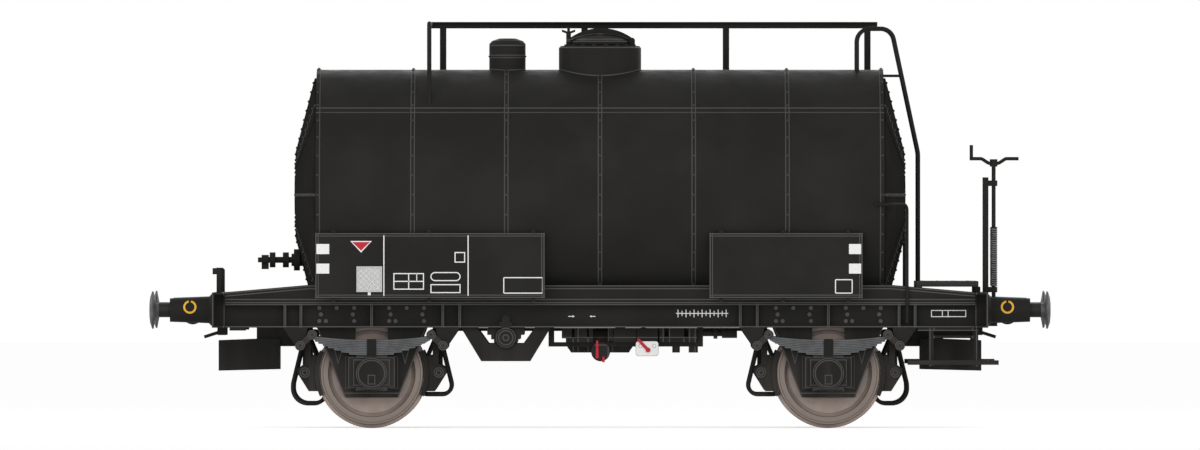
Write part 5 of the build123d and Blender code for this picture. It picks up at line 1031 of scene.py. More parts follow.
def finishes():
    """Every finish of the car by name, made once."""
    colours = bpy.context.scene.tank_car_paint
    white = tuple(colours.white)
    makers = {
        "wheel_steel": wheel_steel,
        "spring_steel": spring_steel,
        "dark_wood": dark_wood,
        "buffer_steel": buffer_steel,
        "axle_steel": partial(bare_steel, "axle_steel", AXLE_GREY, roughness=0.40),
        "screw_steel": partial(bare_steel, "screw_steel", SCREW_GREY, roughness=0.35),
        "plate_white": partial(mark_paint, "plate_white", white, PLATE_WEAR),
        "plate_grey": partial(mark_paint, "plate_grey", tint(white, PLATE_GREY)),
        "white_paint": partial(mark_paint, "white_paint", white),
        "red_paint": partial(mark_paint, "red_paint", tuple(colours.red)),
        "yellow_paint": partial(mark_paint, "yellow_paint", tuple(colours.yellow)),
        "card_mesh": partial(mark_paint, "card_mesh", tuple(colours.mesh_grey)),
    }
    for name, edge, share, shine in PAINTS:
        makers[name] = partial(paint, name, tint(colours.black, share), edge, shine)
    for name, make in makers.items():
        old = bpy.data.materials.get(name)
        if old is not None and "finish" in old:
            continue
        if old is not None:
            old.name = f"cad_{name}"
        make()["finish"] = True
    return {name: bpy.data.materials[name] for name in makers}


# Finishes of the solids that aren't plain black
FINISH_OF = {
    "tank_barrel": "tank_paint",
    "tank_ends": "end_paint",
    "wheels_left": "wheel_steel",
    "wheels_right": "wheel_steel",
    "axle_left": "axle_steel",
    "axle_right": "axle_steel",
    "buffer_plungers": "buffer_steel",
    "leaf_springs": "spring_steel",
    "spring_shackles": "shackle_paint",
    "sole_bars": "sole_paint",
    "cradle_beams": "cradle_paint",
    "headstocks": "headstock_paint",
    "axle_guards": "guard_paint",
    "outlet_pipe": "outlet_paint",
    "name_boards": "board_paint",
    "walkway": "dark_wood",
    "end_platform": "dark_wood",
    "step_boards": "dark_wood",
    "changeover_plate": "plate_white",
    "setting_levers": "red_paint",
    "card_holders": "card_mesh",
    "brake_blocks": "brake_iron",
    "block_holders": "holder_paint",
    "manhole_dome": "dome_paint",
    "manhole_lid": "lid_paint",
    "brake_valves": "gear_paint",
    "brake_cylinder": "gear_paint",
    "air_reservoir": "gear_paint",
    "step_hangers": "hanger_paint",
    "vent_dome": "vent_paint",
    "axle_boxes": "box_paint",
}


# Meshes

def add_piece(name, mesh, finish, body="car"):
    """Piece of the car with one finish, riding on a body of the frame."""
    piece = bpy.data.objects.new(name, mesh)
    bpy.context.scene.collection.objects.link(piece)
    piece.data.materials.clear()
    piece.data.materials.append(finishes()[finish])
    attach(piece, body)


def mesh_from(name, form):
    """Mesh from a working form, with its faces turned outwards."""
    bmesh.ops.recalc_face_normals(form, faces=form.faces)
    mesh = bpy.data.meshes.new(name)
    form.to_mesh(mesh)
    form.free()
    return mesh


BLOCK_FACES = ((0, 1, 3, 2), (4, 6, 7, 5), (0, 4, 5, 1), (2, 3, 7, 6), (0, 2, 6, 4), (1, 5, 7, 3))


def add_block(form, x, y, z):
    """Box between the low and high ends along X, Y and Z."""
    points = [form.verts.new((a, b, c)) for a in x for b in y for c in z]
    for face in BLOCK_FACES:
        form.faces.new([points[number] for number in face])


def add_plate(form, outline, y):
    """Outline in X and Z given thickness between two places along Y."""
    near_side, far_side = [[form.verts.new((x, place, z)) for x, z in outline] for place in y]
    form.faces.new(near_side)
    form.faces.new(reversed(far_side))
    for number in range(len(outline)):
        other = (number + 1) % len(outline)
        form.faces.new((near_side[number], far_side[number], far_side[other], near_side[other]))


def rounded_box(start, end, low, high, corner):
    """Outline of a box whose corners have a radius."""
    if corner <= 0:
        return [(start, low), (end, low), (end, high), (start, high)]
    points = []
    middles = (
        (end - corner, low + corner, -90),
        (end - corner, high - corner, 0),
        (start + corner, high - corner, 90),
        (start + corner, low + corner, 180),
    )
    for x, z, turn in middles:
        for step in range(CORNER_STEPS + 1):
            angle = radians(turn + 90 * step / CORNER_STEPS)
            points.append((x + corner * cos(angle), z + corner * sin(angle)))
    return points


def add_frame(form, outer, inner, y):
    """Closed band between two outlines with as many points, given thickness along Y."""
    count = len(outer)
    rings = [(place, outline) for place in y for outline in (outer, inner)]
    rows = [[form.verts.new((x, place, z)) for x, z in outline] for place, outline in rings]
    out_near, in_near, out_far, in_far = rows
    round_band = (out_near, in_near, in_far, out_far, out_near)
    for number in range(count):
        other = (number + 1) % count
        for first, second in zip(round_band, round_band[1:]):
            form.faces.new((first[number], first[other], second[other], second[number]))


def add_box_line(form, box, corner, width, y):
    """Line along the inside of a box given as start, end, bottom and top."""
    start, end, low, high = box
    outer = rounded_box(*box, corner)
    inside = (start + width, end - width, low + width, high - width)
    inner = rounded_box(*inside, max(0, corner - width))
    add_frame(form, outer, inner, y)


def turn_about(mesh):
    """Add a copy of the mesh turned half round, for the far side."""
    form = bmesh.new()
    form.from_mesh(mesh)
    whole = form.verts[:] + form.edges[:] + form.faces[:]
    turned = bmesh.ops.duplicate(form, geom=whole)["geom"]
    for vertex in (item for item in turned if isinstance(item, bmesh.types.BMVert)):
        vertex.co.x = -vertex.co.x
        vertex.co.y = -vertex.co.y
    form.to_mesh(mesh)
    form.free()


# Geometry node trees

def new_tree(name, sizes):
    """Tree with a geometry input, named sizes and a material, and its input and output nodes."""
    tree = bpy.data.node_groups.new(name, "GeometryNodeTree")
    tree.interface.new_socket("Geometry", in_out="INPUT", socket_type="NodeSocketGeometry")
    for size in sizes:
        tree.interface.new_socket(size, in_out="INPUT", socket_type="NodeSocketFloat")
    tree.interface.new_socket("Material", in_out="INPUT", socket_type="NodeSocketMaterial")
    tree.interface.new_socket("Geometry", in_out="OUTPUT", socket_type="NodeSocketGeometry")
    return tree, tree.nodes.new("NodeGroupInput"), tree.nodes.new("NodeGroupOutput")


def end_tree(tree, given, result, geometry, smooth):
    """Realize the instances, set shading and material, and put the geometry out."""
    realize = tree.nodes.new("GeometryNodeRealizeInstances")
    shade = tree.nodes.new("GeometryNodeSetShadeSmooth")
    finish = tree.nodes.new("GeometryNodeSetMaterial")
    shade.inputs["Shade Smooth"].default_value = smooth
    tree.links.new(geometry, realize.inputs["Geometry"])
    tree.links.new(realize.outputs["Geometry"], shade.inputs["Geometry"])
    tree.links.new(shade.outputs["Geometry"], finish.inputs["Geometry"])
    tree.links.new(given.outputs["Material"], finish.inputs["Material"])
    tree.links.new(finish.outputs["Geometry"], result.inputs["Geometry"])


def head_tree(name, round_head):
    """Tree that sets a rivet or a hexagon head on every point, standing along the point's aim."""
    tree, given, result = new_tree(name, ("Radius", "Height"))
    if round_head:
        head = tree.nodes.new("GeometryNodeMeshUVSphere")
        head.inputs["Segments"].default_value = RIVET_SEGMENTS
        head.inputs["Rings"].default_value = RIVET_ROWS
        head.inputs["Radius"].default_value = 1.0
    else:
        head = tree.nodes.new("GeometryNodeMeshCylinder")
        head.inputs["Vertices"].default_value = BOLT_SIDES
        head.inputs["Radius"].default_value = 1.0
        head.inputs["Depth"].default_value = 2.0
    size = tree.nodes.new("ShaderNodeCombineXYZ")
    for axis, name_of_size in (("X", "Radius"), ("Y", "Radius"), ("Z", "Height")):
        tree.links.new(given.outputs[name_of_size], size.inputs[axis])
    shape = tree.nodes.new("GeometryNodeTransform")
    tree.links.new(head.outputs["Mesh"], shape.inputs["Geometry"])
    tree.links.new(size.outputs["Vector"], shape.inputs["Scale"])
    aim = tree.nodes.new("GeometryNodeInputNamedAttribute")
    aim.data_type = "FLOAT_VECTOR"
    aim.inputs["Name"].default_value = "aim"
    turn = tree.nodes.new("FunctionNodeAlignRotationToVector")
    turn.axis = "Z"
    tree.links.new(aim.outputs["Attribute"], turn.inputs["Vector"])
    place = tree.nodes.new("GeometryNodeInstanceOnPoints")
    tree.links.new(given.outputs["Geometry"], place.inputs["Points"])
    tree.links.new(shape.outputs["Geometry"], place.inputs["Instance"])
    tree.links.new(turn.outputs["Rotation"], place.inputs["Rotation"])
    end_tree(tree, given, result, place.outputs["Instances"], round_head)
    return tree


def swept(tree, path, radius):
    """Path given a round section of a radius."""
    section = tree.nodes.new("GeometryNodeCurvePrimitiveCircle")
    section.inputs["Resolution"].default_value = WIRE_SIDES
    tree.links.new(radius, section.inputs["Radius"])
    sweep = tree.nodes.new("GeometryNodeCurveToMesh")
    sweep.inputs["Fill Caps"].default_value = True
    tree.links.new(path, sweep.inputs["Curve"])
    tree.links.new(section.outputs["Curve"], sweep.inputs["Profile Curve"])
    return sweep.outputs["Mesh"]


def wire_tree():
    """Tree that gives every edge a round section."""
    tree, given, result = new_tree("Wires", ("Radius",))
    path = tree.nodes.new("GeometryNodeMeshToCurve")
    tree.links.new(given.outputs["Geometry"], path.inputs["Mesh"])
    wires = swept(tree, path.outputs["Curve"], given.outputs["Radius"])
    end_tree(tree, given, result, wires, True)
    return tree


def screw_tree():
    """Tree that winds a thread up the Z axis and moves it to its place."""
    tree, given, result = new_tree("Screw", ("Turns", "Radius", "Length", "Depth", "X", "Y", "Z"))
    path = tree.nodes.new("GeometryNodeCurveSpiral")
    path.inputs["Resolution"].default_value = SCREW_STEPS
    sizes_of_path = {
        "Rotations": "Turns",
        "Start Radius": "Radius",
        "End Radius": "Radius",
        "Height": "Length",
    }
    for socket, size in sizes_of_path.items():
        tree.links.new(given.outputs[size], path.inputs[socket])
    thread = swept(tree, path.outputs["Curve"], given.outputs["Depth"])
    place = tree.nodes.new("ShaderNodeCombineXYZ")
    for axis in ("X", "Y", "Z"):
        tree.links.new(given.outputs[axis], place.inputs[axis])
    move = tree.nodes.new("GeometryNodeTransform")
    tree.links.new(thread, move.inputs["Geometry"])
    tree.links.new(place.outputs["Vector"], move.inputs["Translation"])
    end_tree(tree, given, result, move.outputs["Geometry"], True)
    return tree


def grown(name, mesh, tree, sizes, finish):
    """Plain mesh that a tree grows from a mesh with the sizes given by name."""
    carrier = bpy.data.objects.new(name, mesh)
    bpy.context.scene.collection.objects.link(carrier)
    modifier = carrier.modifiers.new(name, "NODES")
    modifier.node_group = tree
    for item in tree.interface.items_tree:
        if item.in_out == "INPUT" and item.name in sizes:
            modifier[item.identifier] = sizes[item.name]
        if item.in_out == "INPUT" and item.name == "Material":
            modifier[item.identifier] = finishes()[finish]
    graph = bpy.context.evaluated_depsgraph_get()
    result = bpy.data.meshes.new_from_object(carrier.evaluated_get(graph))
    carrier.modifiers.remove(modifier)
    bpy.data.objects.remove(carrier)
    if not result.polygons:
        raise RuntimeError(f"{name} grew no faces")
    return result


def heads(name, places, tree, radius, height, finish):
    """Rivets or bolts at places given as (point, aim)."""
    mesh = bpy.data.meshes.new(f"{name}_points")
    mesh.from_pydata([tuple(point) for point, _ in places], [], [])
    aims = mesh.attributes.new("aim", "FLOAT_VECTOR", "POINT")
    for number, (_, aim) in enumerate(places):
        aims.data[number].vector = aim
    grown_mesh = grown(name, mesh, tree, {"Radius": radius, "Height": height}, finish)
    add_piece(name, grown_mesh, finish)


class TankCarOperator:
    """Shared settings of the operators"""

    bl_options = {"REGISTER"}

    def sizes(self):
        """Sizes of rivets, bolts, wires and marks."""
        return bpy.context.scene.tank_car_heads


class TANKCAR_OT_paint(TankCarOperator, Operator):
    """Give every solid of the frame its finish"""

    bl_idname = "tankcar.paint"
    bl_label = "Paint the solids"

    def execute(self, context):
        made = finishes()
        for name, node in NODES.items():
            node.data.materials.clear()
            node.data.materials.append(made[FINISH_OF.get(name, "black_paint")])
        return {"FINISHED"}


class TANKCAR_OT_tank_rivets(TankCarOperator, Operator):
    """Rivet the hoops, the rim bands and the straps of the tank's ends"""

    bl_idname = "tankcar.tank_rivets"
    bl_label = "Tank rivets"

    def hoop(self, x, radius):
        """Rivets round the tank, left out where a dome stands."""
        count = self.sizes().hoop_rivets
        for number in range(count):
            angle = 2 * pi * number / count
            aim = Vector((0, cos(angle), sin(angle)))
            point = Vector((x, 0, TANK_AXIS_Z)) + radius * aim
            on_dome = aim.z > 0 and abs(point.y) < DOME_HIGH.y and abs(x) < DOME_HIGH.x
            if not on_dome:
                yield point, aim

    def strap(self, end, angle):
        """Rivets from the edge of a tank end to its middle."""
        size = self.sizes()
        slope = hypot(STRAP_FACE - CONE_START, CONE_R - FLAT_R)
        lean = (STRAP_FACE - CONE_START) / slope
        out = Vector((0, cos(angle), sin(angle)))
        middle = Vector((0, 0, TANK_AXIS_Z))
        for number in range(ceil(slope / size.cone_pitch)):
            share = (number + 0.5) * size.cone_pitch / slope
            if share < 1:
                x = CONE_START + STRAP_PROUD + share * (STRAP_FACE - CONE_START - STRAP_PROUD)
                r = CONE_R + share * (FLAT_R - CONE_R)
                aim = Vector((end * sqrt(1 - lean ** 2), 0, 0)) + lean * out
                yield Vector((end * x, 0, 0)) + middle + r * out, aim
        for number in range(int((FLAT_R - CAP_R) / size.flat_pitch)):
            r = FLAT_R - (number + FLAT_START) * size.flat_pitch
            yield Vector((end * STRAP_FACE, 0, 0)) + middle + r * out, Vector((end, 0, 0))

    def execute(self, context):
        size = self.sizes()
        places = []
        middle = (HOOP_COUNT - 1) / 2
        for number in range(HOOP_COUNT):
            places += self.hoop((number - middle) * HOOP_PITCH, HOOP_PROUD_R)
        for end in (-1, 1):
            places += self.hoop(end * (BARREL_HALF - RIM_BAND / 2), RIM_R)
            for angle in STRAP_ANGLES:
                places += self.strap(end, radians(angle))
        tree = head_tree("Rivets", True)
        heads("tank_rivets", places, tree, size.rivet_radius, size.rivet_height, "rivet_paint")
        return {"FINISHED"}


class TANKCAR_OT_frame_bolts(TankCarOperator, Operator):
    """Bolt the axle guards, boards, planks, headstocks and the dome"""

    bl_idname = "tankcar.frame_bolts"
    bl_label = "Frame bolts"

    def axle_guards(self):
        """Bolts on the sole bars above each axle guard."""
        for end, side in CORNERS:
            for z, offsets in GUARD_BOLTS:
                for offset in offsets:
                    point = Vector((end * AXLE_X + offset, side * SOLE_WEB_Y, z))
                    yield point, Vector((0, side, 0))

    def boards(self):
        """Rivets along the upper and lower edges of the name boards."""
        face = -BOARD_LOW.y
        for x in BOARD_RIVETS_X:
            for z in (BOARD_LOW.z + BOARD_RIVET_EDGE, BOARD_HIGH.z - BOARD_RIVET_EDGE):
                yield Vector((x, -face, z)), Vector((0, -1, 0))
                yield Vector((-x, face, z)), Vector((0, 1, 0))

    def headstocks(self):
        """Rivets along the headstocks, clear of the brake post and the buffers."""
        rows = (HEADSTOCK_LOW.z + HEADSTOCK_EDGE, HEADSTOCK_HIGH.z - HEADSTOCK_EDGE)
        for end in (-1, 1):
            for number in range(-HEADSTOCK_STEPS, HEADSTOCK_STEPS + 1):
                y = number * HEADSTOCK_PITCH
                clear_of_post = end < 0 or abs(y - SCREW_Y) > POST_ROOM
                clear_of_buffer = abs(abs(y) - BUFFER_Y) > BUFFER_ROOM
                if clear_of_post and clear_of_buffer:
                    for z in rows:
                        yield Vector((end * HEADSTOCK_HIGH.x, y, z)), Vector((end, 0, 0))

    def dome(self):
        """Bolts round the dome's flange, clear of the lid's lugs."""
        for number in range(DOME_BOLTS):
            angle = 2 * pi * (number + 0.5) / DOME_BOLTS
            point = Vector((DOME_BOLT_R * cos(angle), DOME_BOLT_R * sin(angle), DOME_BOLT_Z))
            if abs(point.y) > LUG_ROOM:
                yield point, Vector((0, 0, 1))

    def planks(self):
        """Bolt heads on the planks of the walkway and the platform."""
        for x in POST_PLACES:
            for y in WALKWAY_BOLTS_Y:
                yield Vector((x, y, WALKWAY_TOP)), Vector((0, 0, 1))
        plank = (PLATFORM_HIGH.x - PLATFORM_LOW.x) / PLATFORM_PLANKS
        for number in range(PLATFORM_PLANKS):
            x = PLATFORM_LOW.x + (number + 0.5) * plank
            for y in PLATFORM_BOLTS_Y:
                yield Vector((x, y, PLATFORM_HIGH.z)), Vector((0, 0, 1))

    def execute(self, context):
        size = self.sizes()
        bolts = head_tree("Bolts", False)
        rivets = head_tree("Round heads", True)
        bolt = (bolts, size.bolt_radius, size.bolt_height)
        rivet = (rivets, size.rivet_radius, size.rivet_height * FRAME_RIVET_SHARE)
        flat = (rivets, size.rivet_radius, size.rivet_height * PLANK_HEAD_SHARE)
        heads("guard_bolts", list(self.axle_guards()), *bolt, "bolt_paint")
        heads("dome_bolts", list(self.dome()), *bolt, "black_paint")
        heads("frame_rivets", [*self.boards(), *self.headstocks()], *rivet, "rivet_paint")
        heads("plank_heads", list(self.planks()), *flat, "rivet_paint")
        return {"FINISHED"}


class TANKCAR_OT_plates(TankCarOperator, Operator):
    """Add the web under the lid, the plate behind the valves and the cover on the end box"""

    bl_idname = "tankcar.plates"
    bl_label = "Webs and plates"

    def web(self):
        """Plate from the lid's rim up to the bow of its strongback."""
        start, end = WEB_X
        outline = [
            (start, WEB_FOOT_Z),
            (start + WEB_FOOT, WEB_FOOT_Z),
            (start + WEB_FOOT, WEB_LOW_Z),
            (end - WEB_FOOT, WEB_LOW_Z),
            (end - WEB_FOOT, WEB_FOOT_Z),
            (end, WEB_FOOT_Z),
        ]
        bow_r = STRONGBACK_UNDER_R + WEB_HALF
        for number in range(WEB_STEPS + 1):
            x = end + (start - end) * number / WEB_STEPS
            outline.append((x, STRONGBACK_MIDDLE_Z + sqrt(bow_r ** 2 - x ** 2)))
        form = bmesh.new()
        add_plate(form, outline, (-WEB_HALF, WEB_HALF))
        return mesh_from("lid_web", form)

    def block(self, name, x, y, z):
        """Plain plate of the car's body."""
        form = bmesh.new()
        add_block(form, x, y, z)
        add_piece(name, mesh_from(name, form), "black_paint")

    def execute(self, context):
        behind = (CARRIER_BACK, CARRIER_BACK + GEAR_PLATE_DEPTH)
        across = (-END_COVER_Y, END_COVER_Y)
        add_piece("lid_web", self.web(), "black_paint", "manhole_lid")
        self.block("gear_plate", GEAR_PLATE_X, behind, GEAR_PLATE_Z)
        self.block("box_cover", END_COVER_X, across, END_COVER_Z)
        return {"FINISHED"}


class TANKCAR_OT_brake_screw(TankCarOperator, Operator):
    """Wind the thread on the hand brake spindle"""

    bl_idname = "tankcar.brake_screw"
    bl_label = "Brake screw"

    def execute(self, context):
        low, high = SCREW_ENDS
        sizes = {
            "Turns": float(self.sizes().screw_turns),
            "Radius": SCREW_R,
            "Length": high - low - 2 * SCREW_DEPTH,
            "Depth": SCREW_DEPTH,
            "X": SCREW_X,
            "Y": SCREW_Y,
            "Z": low + SCREW_DEPTH,
        }
        seed = bpy.data.meshes.new("screw_seed")
        mesh = grown("brake_screw", seed, screw_tree(), sizes, "screw_steel")
        add_piece("brake_screw", mesh, "screw_steel")
        return {"FINISHED"}


class TANKCAR_OT_card_wires(TankCarOperator, Operator):
    """Cross the card holders with wires"""

    bl_idname = "tankcar.card_wires"
    bl_label = "Card wires"

    def execute(self, context):
        size = self.sizes()
        reach = (CARD_HIGH.z - CARD_LOW.z) / 2 - CARD_EDGE
        middle_x = CARD_LOW.x + CARD_EDGE + reach
        middle_z = (CARD_LOW.z + CARD_HIGH.z) / 2
        y = CARD_LOW.y + size.wire_radius
        count = int(2 * reach / size.wire_pitch)
        points = []
        lines = []
        for number in range(-count, count + 1):
            shift = number * size.wire_pitch
            low = max(-reach, -reach - shift)
            high = min(reach, reach - shift)
            if high - low < size.wire_pitch / 2:
                continue
            for way in (-1, 1):
                lines.append((len(points), len(points) + 1))
                for along in (low, high):
                    points.append((middle_x + way * along, y, middle_z + along + shift))
        mesh = bpy.data.meshes.new("card_lines")
        mesh.from_pydata(points, lines, [])
        wires = grown("card_wires", mesh, wire_tree(), {"Radius": size.wire_radius}, "white_paint")
        turn_about(wires)
        add_piece("card_wires", wires, "white_paint")
        return {"FINISHED"}


class TANKCAR_OT_board_marks(TankCarOperator, Operator):
    """Paint the panels, rules, boxes and triangles on the name boards and the sole bars"""

    bl_idname = "tankcar.board_marks"
    bl_label = "Board marks"

    def panels(self, form, border, y):
        """Panels as thick as the boards' border, and upright rules."""
        for start, end, low, high in WHITE_PANELS:
            add_block(form, (start, end), border, (low, high))
        for x, width, low, high in WHITE_RULES:
            add_block(form, (x - width / 2, x + width / 2), y, (low, high))

    def boxes(self, form, y):
        """Boxes, some of them parted into columns and rows."""
        line = self.sizes().rule_width
        for start, end, low, high, corner, columns, rows in OUTLINES:
            add_box_line(form, (start, end, low, high), corner, line, y)
            for number in range(1, columns):
                x = start + number * (end - start) / columns
                add_block(form, (x - line / 2, x + line / 2), y, (low + line, high - line))
            for number in range(1, rows):
                z = low + number * (high - low) / rows
                add_block(form, (start + line, end - line), y, (z - line / 2, z + line / 2))

    def triangle(self, form, shrink, y):
        """Triangle that stands on its tip, made smaller by a border."""
        start, end, low, high = TRIANGLE
        inset = TRIANGLE_INSET * shrink
        top = high - shrink
        outline = [(start + inset, top), ((start + end) / 2, low + inset), (end - inset, top)]
        add_plate(form, outline, y)

    def sole_panel(self, form, line, y):
        """Box with rules at the end of the sole bar."""
        _, _, low, high = SOLE_PANEL
        add_box_line(form, SOLE_PANEL, 0, line, y)
        for x in SOLE_PANEL_RULES:
            add_block(form, (x - line / 2, x + line / 2), y, (low + line, high - line))

    def ruler(self, form, line, y):
        """Rule crossed by long and short ticks."""
        start, end = RULER
        low, high = RULER_Z - line / 2, RULER_Z + line / 2
        add_block(form, (start, end), y, (low, high))
        for number in range(RULER_TICKS):
            x = start + (number + 0.5) * (end - start) / RULER_TICKS
            reach = RULER_SHORT if number % 2 else RULER_LONG
            for ends in ((RULER_Z - reach, low), (high, RULER_Z + reach)):
                add_block(form, (x - line / 2, x + line / 2), y, ends)

    def arrows(self, form, line, y):
        """Arrows along the sole bar."""
        half = ARROW_HALF * line
        for tip, tail in ARROWS:
            neck = tip + ARROW_HEAD * (tail - tip)
            add_block(form, sorted((neck, tail)), y, (ARROW_Z - line / 2, ARROW_Z + line / 2))
            add_plate(form, [(tip, ARROW_Z), (neck, ARROW_Z + half), (neck, ARROW_Z - half)], y)

    def add_marks(self, name, form, finish, slot):
        """Marks of both sides as one piece."""
        mesh = mesh_from(name, form)
        turn_about(mesh)
        add_piece(name, mesh, finish)

    def execute(self, context):
        size = self.sizes()
        film = size.film
        border = BOARD_LOW.y
        face = border + BOARD_BORDER
        on_board = (face - film, face)
        on_sole = (-SOLE_WEB_Y - film, -SOLE_WEB_Y)
        sole_line = size.rule_width * SOLE_RULE_SHARE
        white = bmesh.new()
        self.panels(white, (border - film, face), on_board)
        self.boxes(white, on_board)
        self.triangle(white, 0.0, on_board)
        self.sole_panel(white, sole_line, on_sole)
        self.ruler(white, sole_line, on_sole)
        self.arrows(white, sole_line, on_sole)
        self.add_marks("white_marks", white, "white_paint", "white_plate")
        red = bmesh.new()
        self.triangle(red, size.rule_width, (face - 2 * film, face - film))
        self.add_marks("red_marks", red, "red_paint", "red_paint")
        return {"FINISHED"}


class TANKCAR_OT_plate_marks(TankCarOperator, Operator):
    """Paint the edge line and the two rings on the changeover plate"""

    bl_idname = "tankcar.plate_marks"
    bl_label = "Plate marks"

    def ring(self, radius, x):
        """Points round a ring on the plate."""
        turns = [2 * pi * step / PLATE_RING_STEPS for step in range(PLATE_RING_STEPS)]
        return [(x + radius * cos(turn), PLATE_RING_Z + radius * sin(turn)) for turn in turns]

    def execute(self, context):
        y = (PLATE_LOW.y - self.sizes().film, PLATE_LOW.y)
        plate = (PLATE_LOW.x, PLATE_HIGH.x, PLATE_LOW.z, PLATE_HIGH.z)
        form = bmesh.new()
        add_box_line(form, plate, PLATE_CORNER, PLATE_EDGE, y)
        for x in PLATE_RINGS:
            outer = self.ring(PLATE_RING_R, x)
            inner = self.ring(PLATE_RING_R - PLATE_EDGE, x)
            add_frame(form, outer, inner, y)
        add_piece("plate_marks", mesh_from("plate_marks", form), "plate_grey")
        return {"FINISHED"}


class TANKCAR_OT_buffer_rings(TankCarOperator, Operator):
    """Paint the open rings on the sides of the buffer housings"""

    bl_idname = "tankcar.buffer_rings"
    bl_label = "Buffer rings"

    def row(self, form, angle, end, side, middle_z):
        """Four corners across the ring at an angle, laid on the housing's taper."""
        size = self.sizes()
        corners_of_row = []
        for lift in (0.0, RING_FILM):
            for radius in (size.ring_radius, size.ring_radius - size.ring_width):
                x = RING_X[end] + radius * cos(angle)
                rise = RING_RISE + radius * sin(angle)
                share = (x - HOUSING_BACK[0]) / (HOUSING_FRONT[0] - HOUSING_BACK[0])
                housing_r = HOUSING_BACK[1] + share * (HOUSING_FRONT[1] - HOUSING_BACK[1]) + lift
                y = BUFFER_Y + sqrt(housing_r ** 2 - rise ** 2)
                corners_of_row.append(form.verts.new((end * x, side * y, middle_z + rise)))
        low_out, low_in, high_out, high_in = corners_of_row
        return low_out, low_in, high_in, high_out

    def execute(self, context):
        middle_z = (HOUSING_LOW.z + HOUSING_HIGH.z) / 2
        turn = 360 - 2 * RING_GAP
        form = bmesh.new()
        for end, side in CORNERS:
            rows = []
            for number in range(RING_STEPS + 1):
                angle = radians(90 + RING_GAP + turn * number / RING_STEPS)
                rows.append(self.row(form, angle, end, side, middle_z))
            for first, second in zip(rows, rows[1:]):
                for number in range(4):
                    other = (number + 1) % 4
                    form.faces.new((first[number], first[other], second[other], second[number]))
            for row in (rows[0], rows[-1]):
                form.faces.new(row)
        add_piece("buffer_rings", mesh_from("buffer_rings", form), "yellow_paint")
        return {"FINISHED"}


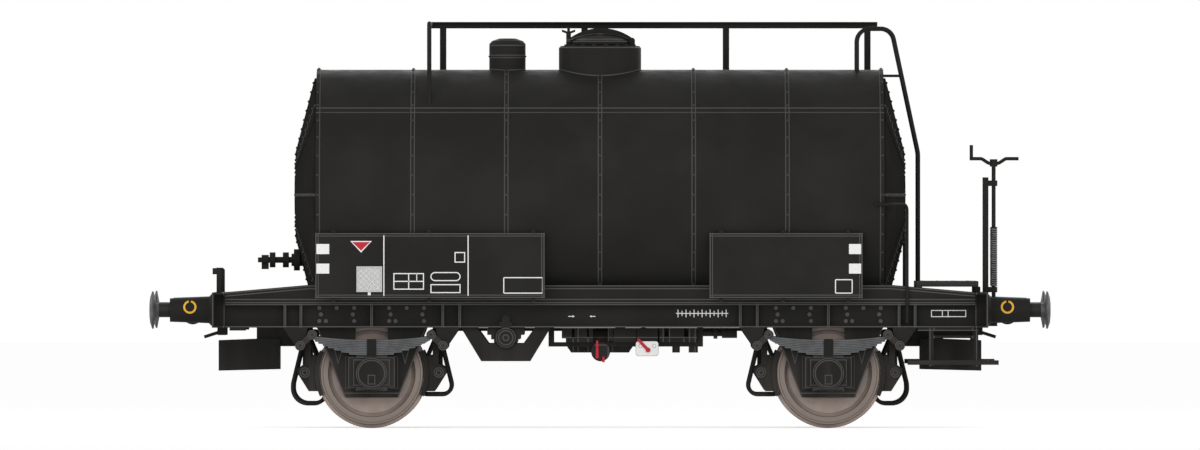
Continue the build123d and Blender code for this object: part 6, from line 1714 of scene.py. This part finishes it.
class TANKCAR_OT_stage(Operator):
    """Set up the floor, the soft light, the white surroundings and the camera"""

    bl_idname = "tankcar.stage"
    bl_label = "Studio"

    def floor(self, size):
        """Wide pale floor, which the camera sees a little brighter than it is lit."""
        mesh = bpy.data.meshes.new("floor")
        ends = (-FLOOR_REACH, FLOOR_REACH)
        points = [(x, y, 0) for x in ends for y in ends]
        mesh.from_pydata(points, [], [(0, 2, 3, 1)])
        floor = bpy.data.objects.new("floor", mesh)
        bpy.context.scene.collection.objects.link(floor)
        material, tree, shader = new_material("studio_floor")
        shader.inputs["Base Color"].default_value = (*size.floor, 1)
        gloss(shader, specular=0.0, roughness=0.9)
        glow = tree.nodes.new("ShaderNodeEmission")
        light_path = tree.nodes.new("ShaderNodeLightPath")
        both = tree.nodes.new("ShaderNodeAddShader")
        strength = calc(tree, "MULTIPLY", light_path.outputs["Is Camera Ray"], size.floor_glow)
        tree.links.new(strength, glow.inputs["Strength"])
        tree.links.new(shader.outputs["BSDF"], both.inputs[0])
        tree.links.new(glow.outputs["Emission"], both.inputs[1])
        tree.links.new(both.outputs["Shader"], tree.nodes["Material Output"].inputs["Surface"])
        floor.data.materials.append(material)

    def lamp(self, name, place, aim, width, height, power):
        """Soft lamp turned towards what it lights."""
        light = bpy.data.lights.new(name, "AREA")
        light.shape = "RECTANGLE"
        light.size = width
        light.size_y = height
        light.energy = power
        lamp = bpy.data.objects.new(name, light)
        bpy.context.scene.collection.objects.link(lamp)
        lamp.location = place
        lamp.rotation_euler = (Vector(aim) - Vector(place)).to_track_quat("-Z", "Y").to_euler()

    def surroundings(self, size):
        """Even light from all round, and white where it is seen, mirrored or looked through."""
        world = bpy.data.worlds.new("studio")
        bpy.context.scene.world = world
        world.use_nodes = True
        tree = world.node_tree
        soft = tree.nodes["Background"]
        soft.inputs["Color"].default_value = (1, 1, 1, 1)
        soft.inputs["Strength"].default_value = size.sky
        white = tree.nodes.new("ShaderNodeBackground")
        white.inputs["Strength"].default_value = 1.0
        white.inputs["Color"].default_value = (1, 1, 1, 1)
        light_path = tree.nodes.new("ShaderNodeLightPath")
        seen = light_path.outputs["Is Camera Ray"]
        for ray in ("Is Glossy Ray", "Is Transmission Ray"):
            seen = calc(tree, "MAXIMUM", seen, light_path.outputs[ray])
        mix = tree.nodes.new("ShaderNodeMixShader")
        tree.links.new(seen, mix.inputs["Fac"])
        tree.links.new(soft.outputs["Background"], mix.inputs[1])
        tree.links.new(white.outputs["Background"], mix.inputs[2])
        tree.links.new(mix.outputs["Shader"], tree.nodes["World Output"].inputs["Surface"])

    def camera(self, size):
        """Camera far off to the near side, with the car's side filling the picture."""
        data = bpy.data.cameras.new("camera")
        data.lens = size.lens
        data.sensor_fit = "HORIZONTAL"
        camera = bpy.data.objects.new("camera", data)
        bpy.context.scene.collection.objects.link(camera)
        distance = PICTURE_WIDTH * size.lens / data.sensor_width
        camera.location = (0, PICTURE_PLANE_Y - distance, PICTURE_MIDDLE_Z)
        camera.rotation_euler = (pi / 2, 0, 0)
        data.clip_start = CLIP_START
        data.clip_end = 2 * distance
        bpy.context.scene.camera = camera

    def execute(self, context):
        size = context.scene.tank_car_stage
        self.floor(size)
        powers = {"key": size.key_power, "low": size.low_power}
        for name, place, aim, width, height, source, share in LAMPS:
            self.lamp(name, place, aim, width, height, powers[source] * share)
        self.surroundings(size)
        self.camera(size)
        context.scene.view_settings.view_transform = "Standard"
        return {"FINISHED"}


OPERATORS = (
    TANKCAR_OT_paint,
    TANKCAR_OT_tank_rivets,
    TANKCAR_OT_frame_bolts,
    TANKCAR_OT_plates,
    TANKCAR_OT_brake_screw,
    TANKCAR_OT_card_wires,
    TANKCAR_OT_board_marks,
    TANKCAR_OT_plate_marks,
    TANKCAR_OT_buffer_rings,
    TANKCAR_OT_stage,
)


class TANKCAR_PT_panel(Panel):
    """Panel that lists the car's pieces and the studio"""

    bl_idname = "TANKCAR_PT_panel"
    bl_label = "Tank car"
    bl_space_type = "VIEW_3D"
    bl_region_type = "UI"
    bl_category = "Tank car"

    def draw(self, context):
        for operator in OPERATORS:
            self.layout.operator(operator.bl_idname)


GROUPS = (
    ("tank_car_paint", TankCarPaint),
    ("tank_car_heads", TankCarHeads),
    ("tank_car_stage", TankCarStage),
)
CLASSES = (*[group for _, group in GROUPS], *OPERATORS, TANKCAR_PT_panel)


def register():
    for item in CLASSES:
        bpy.utils.register_class(item)
    for name, group in GROUPS:
        setattr(bpy.types.Scene, name, PointerProperty(type=group))


def unregister():
    for name, _ in GROUPS:
        delattr(bpy.types.Scene, name)
    for item in reversed(CLASSES):
        bpy.utils.unregister_class(item)


def main():
    register()
    bpy.ops.tankcar.paint()
    bpy.ops.tankcar.tank_rivets()
    bpy.ops.tankcar.frame_bolts()
    bpy.ops.tankcar.plates()
    bpy.ops.tankcar.brake_screw()
    bpy.ops.tankcar.card_wires()
    bpy.ops.tankcar.board_marks()
    bpy.ops.tankcar.plate_marks()
    bpy.ops.tankcar.buffer_rings()
    bpy.ops.tankcar.stage()


if __name__ == "__main__":
    main()
